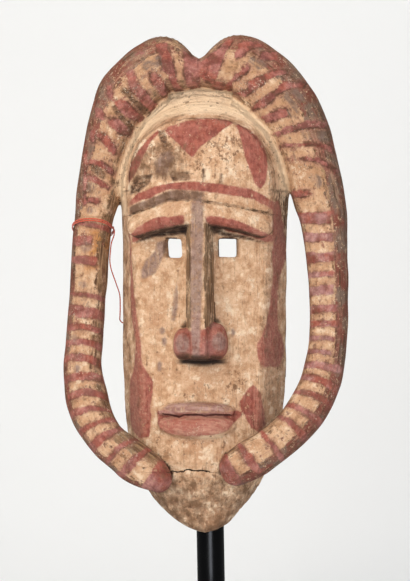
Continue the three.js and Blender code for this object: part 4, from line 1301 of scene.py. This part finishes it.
class MASK_OT_tie_thread(bpy.types.Operator):
    """Makes the thread round the left horn, its run to the face's edge and its knot"""

    bl_idname = "horned_mask.tie_thread"
    bl_label = "Tie the thread"

    def execute(self, context):
        settings = context.scene.thread_settings
        material = cotton(settings)
        samples = ROUTE_STEPS * STEPS_BETWEEN + 1
        fine_route = [tuple(p) for p in in_part(catmull_rom(thread_route(), samples))]
        route = fine_route[::STEPS_BETWEEN]
        length = sum(math.dist(a, b) for a, b in zip(route, route[1:]))
        thread = self.twisted_thread(fine_route, length, settings, material)
        knot = self.knot(material, settings)
        for made, node in ((thread, "thread"), (knot, "thread_knot")):
            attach(made, "root")
            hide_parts(node)
        return {"FINISHED"}

    def twisted_thread(self, route, length, settings, material):
        """Geometry Nodes sweep a flattened round section along the route and twist it."""
        path = bpy.data.meshes.new("thread_piece")
        path.from_pydata(route, [(k, k + 1) for k in range(len(route) - 1)], [])
        made = bpy.data.objects.new("thread_piece", path)
        bpy.context.scene.collection.objects.link(made)
        tree = bpy.data.node_groups.new("twisted thread", "GeometryNodeTree")
        face = tree.interface
        face.new_socket("Geometry", in_out="INPUT", socket_type="NodeSocketGeometry")
        for name in ("Radius", "Turns"):
            face.new_socket(name, in_out="INPUT", socket_type="NodeSocketFloat")
        face.new_socket("Geometry", in_out="OUTPUT", socket_type="NodeSocketGeometry")
        given = add(tree, "NodeGroupInput").outputs
        curve = add(tree, "GeometryNodeMeshToCurve", {"Mesh": given["Geometry"]})
        way = add(tree, "GeometryNodeSplineParameter")
        turn = add(tree, "ShaderNodeMath", {0: given["Turns"], 1: 2 * math.pi}, operation="MULTIPLY")
        tilt = add(tree, "ShaderNodeMath", {
            0: way.outputs["Factor"], 1: turn.outputs[0],
        }, operation="MULTIPLY")
        tilted = add(tree, "GeometryNodeSetCurveTilt", {
            "Curve": curve.outputs["Curve"], "Tilt": tilt.outputs[0],
        })
        shape = add(tree, "GeometryNodeCurvePrimitiveCircle", {
            "Resolution": THREAD_SIDES, "Radius": given["Radius"],
        })
        squeeze = add(tree, "ShaderNodeCombineXYZ", {"X": 1.0, "Y": THREAD_FLATNESS, "Z": 1.0})
        flat = add(tree, "GeometryNodeTransform", {
            "Geometry": shape.outputs["Curve"], "Scale": squeeze.outputs["Vector"],
        })
        tube = add(tree, "GeometryNodeCurveToMesh", {
            "Curve": tilted.outputs["Curve"], "Profile Curve": flat.outputs["Geometry"],
            "Fill Caps": True,
        })
        real = add(tree, "GeometryNodeRealizeInstances", {"Geometry": tube.outputs["Mesh"]})
        done = add(tree, "GeometryNodeSetMaterial", {
            "Geometry": real.outputs["Geometry"], "Material": material,
        })
        add(tree, "NodeGroupOutput", {"Geometry": done.outputs["Geometry"]})
        modifier = made.modifiers.new("thread", "NODES")
        modifier.node_group = tree
        values = {"Radius": settings.radius, "Turns": length / settings.twist}
        for socket in face.items_tree:
            if socket.in_out == "INPUT" and socket.name in values:
                modifier[socket.identifier] = values[socket.name]
        bpy.context.view_layer.update()
        graph = bpy.context.evaluated_depsgraph_get()
        mesh = bpy.data.meshes.new_from_object(made.evaluated_get(graph))
        made.modifiers.clear()
        made.data = mesh
        if not mesh.polygons:
            raise RuntimeError("the thread came out empty")
        mesh.polygons.foreach_set("use_smooth", [True] * len(mesh.polygons))
        return made

    def knot(self, material, settings):
        """A small overhand knot: a lumpy ball with the cord's strands crossing on it."""
        before, end = (np.array(p, float) for p in THREAD_RUN[-2:])
        onward = (end - before) / np.linalg.norm(end - before)
        centre = end + onward * (KNOT_RADIUS + JOINT_GAP)
        rings, sides = 12, 20
        points = []
        for i in range(rings + 1):
            for j in range(sides):
                a, b = math.pi * i / rings, 2 * math.pi * j / sides
                away = np.array([math.sin(a) * math.cos(b), math.sin(a) * math.sin(b), math.cos(a)])
                strands = math.sin(3 * b + 4 * math.cos(a)) * math.sin(a)
                points.append(centre + away * KNOT_RADIUS * (0.9 + 0.1 * strands))
        faces = ring_faces(rings, sides)
        made = mesh_object("thread_knot_piece", in_part(points), faces, material)
        close_poles(made)
        return made


def ring_faces(steps, sides):
    """Four-sided faces between rings of points that follow each other."""
    return [
        (i * sides + j, i * sides + k, (i + 1) * sides + k, (i + 1) * sides + j)
        for i in range(steps) for j, k in ((j, (j + 1) % sides) for j in range(sides))
    ]


def close_poles(made):
    """Merges the doubled points of a lathe's poles and turns the faces outwards."""
    work = bmesh.new()
    work.from_mesh(made.data)
    bmesh.ops.remove_doubles(work, verts=work.verts, dist=1e-6)
    bmesh.ops.recalc_face_normals(work, faces=work.faces)
    work.to_mesh(made.data)
    work.free()


def neighbour_mean(faces, values):
    """The mean of the values at each point's neighbours along the faces' edges."""
    pairs = np.concatenate([faces[:, [k, (k + 1) % 4]] for k in range(4)])
    total = np.zeros_like(values)
    for a, b in (pairs.T, pairs.T[::-1]):
        np.add.at(total, a, values[b])
    count = np.bincount(pairs.ravel(), minlength=len(values))
    return (total.T / count).T


class MASK_OT_carve_mask(bpy.types.Operator):
    """Carves the face and the horns from one block and lays out its paint"""

    bl_idname = "horned_mask.carve_mask"
    bl_label = "Carve the mask"

    def execute(self, context):
        settings = context.scene.mask_settings
        wood = Wood()
        points, faces = self.carve(wood, settings.cell / MM)
        for _ in range(2):
            evened = mix(points, neighbour_mean(faces, points), 0.5)
            points, _slope = self.onto_surface(wood, evened)
        for _ in range(2):
            points, slope = self.onto_surface(wood, points)
        normals = slope / np.maximum(np.linalg.norm(slope, axis=1), 1e-6)[:, None]
        points = self.tool_marks(points, normals, settings.tool_marks / MM)
        placed = np.clip(in_part(points), *(np.array(corner) for corner in cad_box))
        made = mesh_object("carved_mask", placed, faces, painted_wood(settings))
        self.lay_paint(made, Skin(wood, points, normals, faces))
        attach(made, "root")
        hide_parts("mask")
        return {"FINISHED"}

    def carve(self, wood, step):
        low, high = CARVED_BOX
        axes = [np.arange(a, b, step, dtype=np.float32) for a, b in zip(low, high)]
        x, y, z = axes[0][:, None, None], axes[1][None, :, None], axes[2][None, None, :]
        values = wood.field(x, y, z)
        return surface_net(np.asarray(values, np.float32), np.array(low), step)

    def onto_surface(self, wood, points):
        """The points moved onto the surface, and the field's slope where they were."""
        value = wood.field(*points.T)
        parts = []
        for offset in np.eye(3) * SLOPE_REACH:
            ahead, behind = (wood.field(*(points + side * offset).T) for side in (1, -1))
            parts.append((ahead - behind) / (2 * SLOPE_REACH))
        slope = np.stack(parts, axis=1)
        size = np.maximum(np.sum(slope ** 2, axis=1), FLATTEST_SLOPE)
        move = np.clip(value / size, -LONGEST_MOVE, LONGEST_MOVE)
        return points - slope * move[:, None], slope

    def tool_marks(self, points, normals, depth):
        """Broad and small marks all over, adze marks in the hollow, and the carved lines."""
        broad = value_noise(points, BROAD_SIZE, 11) * depth
        small = value_noise(points * [1, 1, SMALL_DRAWN], SMALL_SIZE, 12) * SMALL_DEPTH
        inside = smoothstep(normals[:, 1], 0.2, 0.7)
        adze = value_noise(points * [1, 1, ADZE_DRAWN], ADZE_SIZE, 13)
        marks = broad + small - np.abs(adze) * ADZE_DEPTH * inside
        front = smoothstep(-normals[:, 1], 0.1, 0.5)
        for line, line_depth, half in (
            (BROW_RECESS, RECESS_DEPTH, RECESS_HALF), (CHIN_CRACK, CRACK_DEPTH, CRACK_HALF),
        ):
            from_line = above_line(points[:, 0], points[:, 2], on_face(*line))
            marks = marks - line_depth * np.exp(-(from_line / half) ** 2) * front
        return points + normals * marks[:, None]

    def lay_paint(self, made, skin):
        """Writes what each point is covered with as attributes: edges in mm, the rest 0 to 1."""
        for name, numbers in skin.coverings().items():
            layer = made.data.attributes.new(name, "FLOAT", "POINT")
            layer.data.foreach_set("value", np.clip(numbers, -FAR, FAR).astype(np.float32))
        layer = made.data.attributes.new("grain", "FLOAT_VECTOR", "POINT")
        layer.data.foreach_set("vector", (skin.grain() * MM).astype(np.float32).ravel())


class Skin:
    """The carved surface, and what covers each of its points. Lengths are in mm."""

    def __init__(self, wood, points, normals, faces):
        self.x, self.y, self.z = x, y, z = points.T
        self.normals = normals
        self.facing = -normals[:, 1]
        self.ragged = value_noise(points, 14.0, 21)
        self.left, self.right = (bar.measure(x, y, z) for bar in wood.horns)
        self.block, hollow = wood.face(x, y, z)
        self.to_horns = np.minimum(self.left.outside, self.right.outside)
        self.on_horn = (self.to_horns < np.minimum(self.block, 30) - 0.5) & (hollow > HOLLOW_DEPTH)
        self.on_front = ((self.facing > 0.25) | (y < -40)) & ~self.on_horn
        by_left = self.left.outside <= self.right.outside
        self.on_left = self.on_horn & by_left
        self.outer = np.where(by_left, self.left.share, -self.right.share)
        self.along = np.where(by_left, self.left.along, self.right.along)
        shown = smoothstep(self.facing + 0.15 * self.ragged, -0.35, 0.05)
        self.covered = np.where(hollow < HOLLOW_DEPTH, 0.0, shown)
        self.hidden = self.covered < 0.5

        self.seam = self.block - self.to_horns
        rim = self.on_horn & (z > ARCH_SIDES[1]) & (self.facing > -0.2)
        self.from_rim = np.where(rim, self.seam, FAR)
        self.from_arch = wood.look_up("front", x, z)
        in_arch = ~self.on_horn & (z > SPINE_HIGH - 25)
        self.in_cove = in_arch & (self.from_arch > 0.5) & (self.facing > -0.3)
        self.join = (z > ARCH_SIDES[0]) & (np.abs(self.seam) < 12)
        self.on_lips = ~self.on_horn & self.in_area(LIPS_AREA)
        self.on_nose = ~self.on_horn & self.in_area(NOSE_TIP_AREA)
        self.on_flank = self.in_area(NOSE_FLANKS_AREA) & (np.abs(normals[:, 0]) > 0.4)
        self.beside_tip = ~self.on_horn & (z < 150)
        self.bend = self.find_bend(points, faces)

    def in_area(self, area, behind=False):
        middle, half_width, low, high, plane = area
        there = (np.abs(self.x - middle) < half_width) & (self.z > low) & (self.z < high)
        return there & ((self.y > plane) if behind else (self.y < plane))

    def find_bend(self, points, faces):
        """How hollow (+) or how sharp (-) the surface is round each point, in 1/mm."""
        offset = neighbour_mean(faces, points) - points
        bend = np.sum(offset * self.normals, axis=1)
        for _ in range(8):
            bend = 0.5 * bend + 0.5 * neighbour_mean(faces, bend)
        # less painted shade in the cove and at the horns' joins, and beside the tips mostly on the
        # horns' outer side
        bend = np.where(self.join | self.in_cove, np.minimum(bend, 0.02), bend)
        return np.where(self.beside_tip, bend * smoothstep(self.outer, -0.4, 0.5), bend)

    def coverings(self):
        x, z, on_horn, covered = self.x, self.z, self.on_horn, self.covered
        face_red, face_grey, face_dark = (
            [on_face(*outline) for outline in table] for table in (FACE_RED, FACE_GREY, FACE_DARK)
        )
        dark, painted_nose_shadow, painted_brow_shade = self.darks(face_dark)
        edges = {
            "red_edge": self.red(face_red), "grey_edge": self.grey(face_grey), "dark_paint_and_shade_edge": dark,
        }
        made = {name: np.where(self.hidden, -FAR, edge) for name, edge in edges.items()}
        for name, line in (("recess", BROW_RECESS), ("crack", CHIN_CRACK)):
            from_line = above_line(x, z, on_face(*line))
            made[name] = np.where(self.hidden, np.copysign(FAR, from_line), from_line)
        # painted shadow between the lips, along the mouth's slit
        has_slit = self.on_lips | (self.y < -55) & ~on_horn
        made.update({
            "slit": np.where(has_slit, above_line(x, z, MOUTH_SLIT), FAR),
            "painted_nose_shadow": painted_nose_shadow * covered, "painted_brow_shade": painted_brow_shade * covered,
            "ground": self.ground(), "mauve": self.mauve(), "worn": self.worn(),
            "smoke": self.smoke(), "ochre": self.ochre(), "grime_and_shade": self.grime_and_shade(face_grey),
            "pale": self.pale(), "speckle": self.speckle(),
            "carved": on_horn * covered * smoothstep(self.along, 236.0, 222.0, 0.55, 1.0),
            # dirt and painted shade in concave places, by the surface's bend
            "hollow": smoothstep(self.bend, 0.07, 0.3),
            "ridge": smoothstep(-self.bend, 0.16, 0.5),
        })
        return made

    def red(self, face_red):
        red = np.where(self.on_horn, self.inside_of(HORN_RED), self.inside_of(face_red))
        for horn, rings, side in ((self.left, LEFT_RINGS, 1), (self.right, RIGHT_RINGS, -1)):
            outer = np.clip(side * horn.share, -1, 1)
            painted = self.inside_rings(horn.along, outer, rings)
            if side > 0:
                short = np.where(horn.along < LEFT_SHORT_END[0], *LEFT_SHORT)
                shortened = (horn.along > LEFT_SHORT_START) & (horn.along < LEFT_SHORT_END[1])
                over = outer - np.where(shortened, short, -3.0)
            else:
                widened = smoothstep(horn.along, *RIGHT_WIDENS, RIGHT_REACH, 3.0)
                over = widened + 0.22 * self.ragged - outer
            painted = np.minimum(painted, over * RING_HALF_WIDTH)
            mine = self.on_horn & (horn.outside < 6) & (horn.along > RINGS_START)
            red = np.where(mine, painted, red)
        behind_nose = self.in_area(BEHIND_NOSE_AREA, behind=True)
        red = np.where((self.on_horn | self.on_front) & ~behind_nose, red, -FAR)
        return np.where(self.from_rim < 14, np.minimum(red, self.from_rim - 6.0), red)

    def grey(self, face_grey):
        spots = np.max([self.inside_spot(spot) for spot in GREY_SPOTS], axis=0)
        heights, middle, half = zip(*RIDGE_GREY)
        x, z = self.x, self.z
        ridge_top = np.interp(z, heights, half) - np.abs(x - np.interp(z, heights, middle))
        ridge_top = np.where((self.y < -70) & (z > 182) & (z < 350), ridge_top, -FAR)
        lobes = np.max([self.inside_spot(spot) for spot in NOSTRIL_SPOTS], axis=0)
        ridge_top = np.where(self.y < -66, np.maximum(ridge_top, lobes), ridge_top)
        grey = np.where(
            self.on_horn, np.maximum(self.inside_of(HORN_GREY), spots),
            np.maximum(self.inside_of(face_grey), ridge_top),
        )
        return np.where(self.on_horn | self.on_front, grey, -FAR)

    def darks(self, face_dark):
        """The dark paint with painted shade on the brows' undersides, the painted shadow under the
        nose, and the painted shade under the brows.
        """
        y, on_horn, downward = self.y, self.on_horn, -self.normals[:, 2]
        marks = [self.inside_spot(spot) for spot in DARK_SPOTS]
        marks += [self.inside_line(row[:2], row[2:4], row[4]) for row in DARK_GROOVES]
        on_horns = np.maximum(self.inside_of(HORN_DARK), np.max(marks, axis=0))
        dark = np.where(on_horn, on_horns, self.inside_of(face_dark))
        under_brow = self.in_area(UNDER_BROWS_AREA) & ~on_horn
        under_nose = self.in_area(UNDER_NOSE_AREA)
        # painted shade: dark on the brows' downward faces
        dark = np.where(under_brow, np.maximum(dark, (downward - 0.86) * 14), dark)
        # painted shadow: a dark band on the face under the nose, and painted shade on the nose's
        # downward faces
        painted_nose_shadow = smoothstep(self.inside_spot(UNDER_NOSE), -0.9, 0.5) * (y > -84)
        painted_nose_shadow = np.maximum(painted_nose_shadow, 0.7 * under_nose * smoothstep(downward, 0.55, 0.95))
        # painted shade under the brows, where the dark lies
        painted_brow_shade = 0.9 * under_brow * smoothstep(dark, -0.5, 2.0)
        painted_nose_shadow = np.where(on_horn | (y > -50), 0.0, painted_nose_shadow)
        return np.where(on_horn | self.on_front, dark, -FAR), painted_nose_shadow, painted_brow_shade

    def ground(self):
        """How much of the pale ground is left: less at the horns' sides and on bare walls."""
        from_middle = np.abs(self.outer - np.where(self.on_left, 0.05, -0.22))
        ground = np.where(self.on_horn, 0.84 - 0.46 * smoothstep(from_middle, 0.25, 0.85), 0.95)
        bare_patch = self.on_left * stretch(self.along, BARE_PATCH)
        ground = mix(ground, 0.15, bare_patch * smoothstep(self.outer, -0.15, -0.5))
        ground = np.maximum(ground, smoothstep(self.from_rim, 14.0, 7.0))
        ground[self.on_flank] = 0.3
        wall = ~self.on_horn & (self.facing < 0.35) & (self.z < 356) & (self.y > -50)
        ground = np.where(wall & ~self.on_flank, np.where(self.x < 0, 0.85, 0.42), ground)
        return ground * self.covered

    def mauve(self):
        low_right = (self.x > 0) & (self.z < 330) & (self.z > 150)
        mauve = np.where(self.on_horn, 0.35, 0.1)
        mauve = np.where(self.on_horn & low_right, 0.9, mauve)
        mauve = np.where(self.on_horn & (self.along > 536), 0.55, mauve)
        lips = np.where(self.z > LIPS_PART, 1.0, 0.25)
        return np.where(self.on_lips, lips, np.where(self.on_nose, 0.4, mauve))

    def worn(self):
        on_strip = self.on_front & (np.abs(self.x) > 56) & (self.z < 345)
        lips = np.where(self.z > LIPS_PART, 0.35, 0.75)
        return np.where(self.on_lips, lips, np.where(self.on_nose, 0.12, 0.5 * on_strip))

    def smoke(self):
        """How browned the horns are by handling: their outer sides most."""
        outer, along = self.outer, self.along
        fan = smoothstep(outer, 0.05, 0.6) * smoothstep(along, 30.0, 90.0, 0.45, 0.8)
        lower = np.where(
            self.x > 0, smoothstep(outer, 0.3, 0.5) * 0.95, smoothstep(outer, 0.5, 0.8) * 0.8,
        )
        on_horns = np.maximum(mix(fan, lower, smoothstep(along, 225.0, 245.0)), 0.22)
        smoke = np.where(self.on_horn, on_horns, 0.0)
        strip = self.on_left * smoothstep(along, 440.0, 452.0) * smoothstep(outer, 0.7, 0.85)
        smoke = np.maximum(smoke, strip) * self.covered
        return smoke * smoothstep(self.from_rim, 6.0, 15.0, 0.05, 1.0)

    def ochre(self):
        toward_face = smoothstep(self.outer, 0.35, -0.25)
        return self.on_left * stretch(self.along, OCHRE_STRETCH) * toward_face * self.covered

    def grime_and_shade(self, face_grey):
        x, z = self.x, self.z
        wash = smoothstep(x, 2.0, -22.0) * stretch(z, WASH_BAND) * self.on_front
        # darker towards the chin's bottom and near the front's edges, a washed patch, painted shade
        # in the recess under the band and at the nose's lower rim
        soiled = [
            0.68 * smoothstep(z, 96.0, 30.0),
            0.3 * smoothstep(-self.from_arch, 9.0, 0.0) * (self.facing > 0),
            0.62 * wash,
            0.75 * smoothstep(self.inside_of(face_grey[UNDER_BAND_ROW]), -2.0, 2.0),
            0.75 * self.on_nose * smoothstep(z, 191.0, 183.0),
        ]
        on_horns = 0.18 + 0.25 * smoothstep(np.abs(self.outer), 0.5, 1.0)
        grime_and_shade = np.where(self.on_horn, on_horns, np.maximum.reduce(soiled)) * self.covered
        # painted shadow on the chin under the horns' tips
        shaded = self.beside_tip * smoothstep(self.to_horns, 9.0, 0.0)
        shaded = shaded * smoothstep(self.outer, 0.2, 0.9) * self.covered
        grime_and_shade = np.maximum(grime_and_shade, 0.9 * shaded)
        inner_cove = np.where(self.in_cove, smoothstep(self.from_arch, 13.0, 1.0), 0.0)
        return np.maximum(np.where(self.in_cove | self.join, 0.0, grime_and_shade), 0.3 * inner_cove)

    def pale(self):
        # painted light: paler in the cove and on the horns' downward-facing rim above it; a worn
        # patch on the lower lip
        cove = np.where(self.in_cove, smoothstep(self.from_arch, 1.0, 9.0), 0.0)
        rim = 0.9 * smoothstep(self.from_rim, 12.0, 6.0) * self.covered
        lip = smoothstep(self.inside_spot(WORN_LIP), -2.0, 1.0) * self.on_lips
        return np.maximum.reduce([cove, rim, lip])

    def grain(self):
        """Places along and across the wood's grain: it follows the horns and the arch."""
        grain = np.stack([self.x, self.y, self.z], axis=1)
        for bar, mine in ((self.left, self.on_left), (self.right, self.on_horn & ~self.on_left)):
            grain[mine] = np.stack([bar.across, bar.outward, bar.along], axis=1)[mine]
        over_arch = ~self.on_horn & (self.z > SPINE_HIGH) & (self.facing < 0.8)
        over_arch = over_arch & (self.from_arch > -2)
        angle = np.arctan2(self.x, self.z - SPINE_HIGH)
        cove = np.stack([self.from_arch, self.y, angle * ARCH_RADIUS], axis=1)
        grain[over_arch] = cove[over_arch]
        return grain

    def speckle(self):
        """How thickly the ground is speckled: most on the forehead's right panel."""
        panel = stretch(self.z, SPECKLE_BAND) * mix(0.6, 0.8, smoothstep(self.x, -30.0, 20.0))
        lower = 0.35 * smoothstep(self.z, 235.0, 150.0)
        return np.clip((panel + lower) * self.on_front + 0.15 * self.on_horn, 0.12, 1)

    def inside_of(self, outlines):
        """Distance inside the nearest of these outlines, negative outside all of them."""
        best = np.full(len(self.x), -FAR)
        for outline in outlines:
            low, high = np.min(outline, axis=0) - PAINT_MARGIN, np.max(outline, axis=0) + PAINT_MARGIN
            near = (self.x > low[0]) & (self.x < high[0]) & (self.z > low[1]) & (self.z < high[1])
            inside = -polygon_distance(self.x[near], self.z[near], outline)
            best[near] = np.maximum(best[near], inside)
        return best

    def inside_spot(self, spot):
        """About how far inside an oval spot each place is."""
        middle_x, middle_z, half_width, half_height = spot
        share = np.hypot((self.x - middle_x) / half_width, (self.z - middle_z) / half_height)
        return (1 - share) * min(half_width, half_height)

    def inside_line(self, start, end, half_width):
        """How far inside a straight stroke of this half width each place is."""
        ex, ez = end[0] - start[0], end[1] - start[1]
        from_x, from_z = self.x - start[0], self.z - start[1]
        t = np.clip((from_x * ex + from_z * ez) / (ex * ex + ez * ez), 0.0, 1.0)
        return half_width - np.hypot(from_x - t * ex, from_z - t * ez)

    @staticmethod
    def inside_rings(along, outer, rings):
        """How far inside the nearest ring: each bends from the outer side to the inner one."""
        outwards, inwards = np.maximum(outer, 0) ** 1.5, np.maximum(-outer, 0) ** 1.5
        best = np.full(len(along), -FAR)
        for out_low, out_high, low, high, in_low, in_high in rings:
            begins = low + (out_low - low) * outwards + (in_low - low) * inwards
            ends = high + (out_high - high) * outwards + (in_high - high) * inwards
            best = np.maximum(best, np.minimum(along - begins, ends - along))
        return best


class MASK_OT_turn_rod(bpy.types.Operator):
    """Makes the round black rod with its domed top"""

    bl_idname = "horned_mask.turn_rod"
    bl_label = "Turn the rod"

    def execute(self, context):
        radius = context.scene.stand_settings.rod_radius / MM
        foot = PLATE_THICKNESS + JOINT_GAP
        above_foot = foot + ROD_EDGE
        profile = [(0.0, foot), (radius - ROD_EDGE, foot), (radius, above_foot)]
        middle = ROD_TOP - radius
        profile += [(radius, mix(above_foot, middle, k / ROD_STEPS)) for k in range(1, ROD_STEPS + 1)]
        for k in range(1, DOME_STEPS + 1):
            angle = k / DOME_STEPS * math.pi / 2
            profile.append((radius * math.cos(angle), middle + radius * math.sin(angle)))
        sides = ROD_SIDES
        around = [2 * math.pi * j / sides for j in range(sides)]
        points = [
            (r * math.cos(angle) * MM, r * math.sin(angle) * MM, h * MM)
            for r, h in profile for angle in around
        ]
        faces = ring_faces(len(profile) - 1, sides)
        made = mesh_object("rod_piece", points, faces, blacked_steel())
        close_poles(made)
        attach(made, "root")
        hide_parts("rod")
        return {"FINISHED"}


class MASK_OT_cut_plate(bpy.types.Operator):
    """Makes the square steel plate with rounded corners and a bevelled top edge"""

    bl_idname = "horned_mask.cut_plate"
    bl_label = "Cut the plate"

    def execute(self, context):
        half = context.scene.stand_settings.plate_side / MM / 2

        def outline(inset, z):
            points = []
            reach, radius = half - PLATE_CORNER, PLATE_CORNER - inset
            for corner in range(4):
                turn = (corner + 0.5) * math.pi / 2
                x, y = (math.copysign(reach, v) for v in (math.cos(turn), math.sin(turn)))
                for k in range(CORNER_STEPS + 1):
                    angle = (corner + k / CORNER_STEPS) * math.pi / 2
                    place = (x + radius * math.cos(angle), y + radius * math.sin(angle), z)
                    points.append(tuple(v * MM for v in place))
            return points

        levels = [(0.0, 0.0), (0.0, PLATE_THICKNESS - PLATE_EDGE)]
        for k in range(1, EDGE_STEPS + 1):
            angle = k / EDGE_STEPS * math.pi / 2
            inset, drop = (PLATE_EDGE * (1 - v) for v in (math.cos(angle), math.sin(angle)))
            levels.append((inset, PLATE_THICKNESS - drop))
        rings = [outline(inset, z) for inset, z in levels]
        count = len(rings[0])
        points = [p for ring in rings for p in ring]
        faces = ring_faces(len(rings) - 1, count)
        faces += [tuple(range(count))[::-1], tuple(range(len(points) - count, len(points)))]
        made = mesh_object("plate_piece", points, faces, bpy.data.materials[STEEL])
        made.data.polygons[-1].use_smooth = made.data.polygons[-2].use_smooth = False
        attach(made, "root")
        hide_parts("base_plate")
        return {"FINISHED"}


class VIEW3D_PT_horned_mask(bpy.types.Panel):
    """Lists the steps that make the mask"""

    bl_label = "Horned mask"
    bl_space_type = "VIEW_3D"
    bl_region_type = "UI"
    bl_category = "Horned mask"

    def draw(self, context):
        for step in STEPS:
            self.layout.operator(step.bl_idname)
        for group in GROUPS:
            settings = getattr(context.scene, group)
            for name in settings.bl_rna.properties.keys():
                if name not in ("rna_type", "name"):
                    self.layout.prop(settings, name)


STEPS = (
    MASK_OT_make_stage, MASK_OT_tie_thread, MASK_OT_carve_mask, MASK_OT_turn_rod, MASK_OT_cut_plate,
)
GROUPS = {
    "mask_settings": MaskSettings,
    "thread_settings": ThreadSettings,
    "stand_settings": StandSettings,
    "stage_settings": StageSettings,
}


def register():
    for group in GROUPS.values():
        bpy.utils.register_class(group)
    for name, group in GROUPS.items():
        setattr(bpy.types.Scene, name, bpy.props.PointerProperty(type=group))
    for step in STEPS:
        bpy.utils.register_class(step)
    bpy.utils.register_class(VIEW3D_PT_horned_mask)


def unregister():
    bpy.utils.unregister_class(VIEW3D_PT_horned_mask)
    for step in reversed(STEPS):
        bpy.utils.unregister_class(step)
    for name, group in GROUPS.items():
        delattr(bpy.types.Scene, name)
        bpy.utils.unregister_class(group)


def main():
    register()
    bpy.ops.horned_mask.make_stage()
    bpy.ops.horned_mask.tie_thread()
    bpy.ops.horned_mask.carve_mask()
    bpy.ops.horned_mask.turn_rod()
    bpy.ops.horned_mask.cut_plate()


if __name__ == "__main__":
    main()
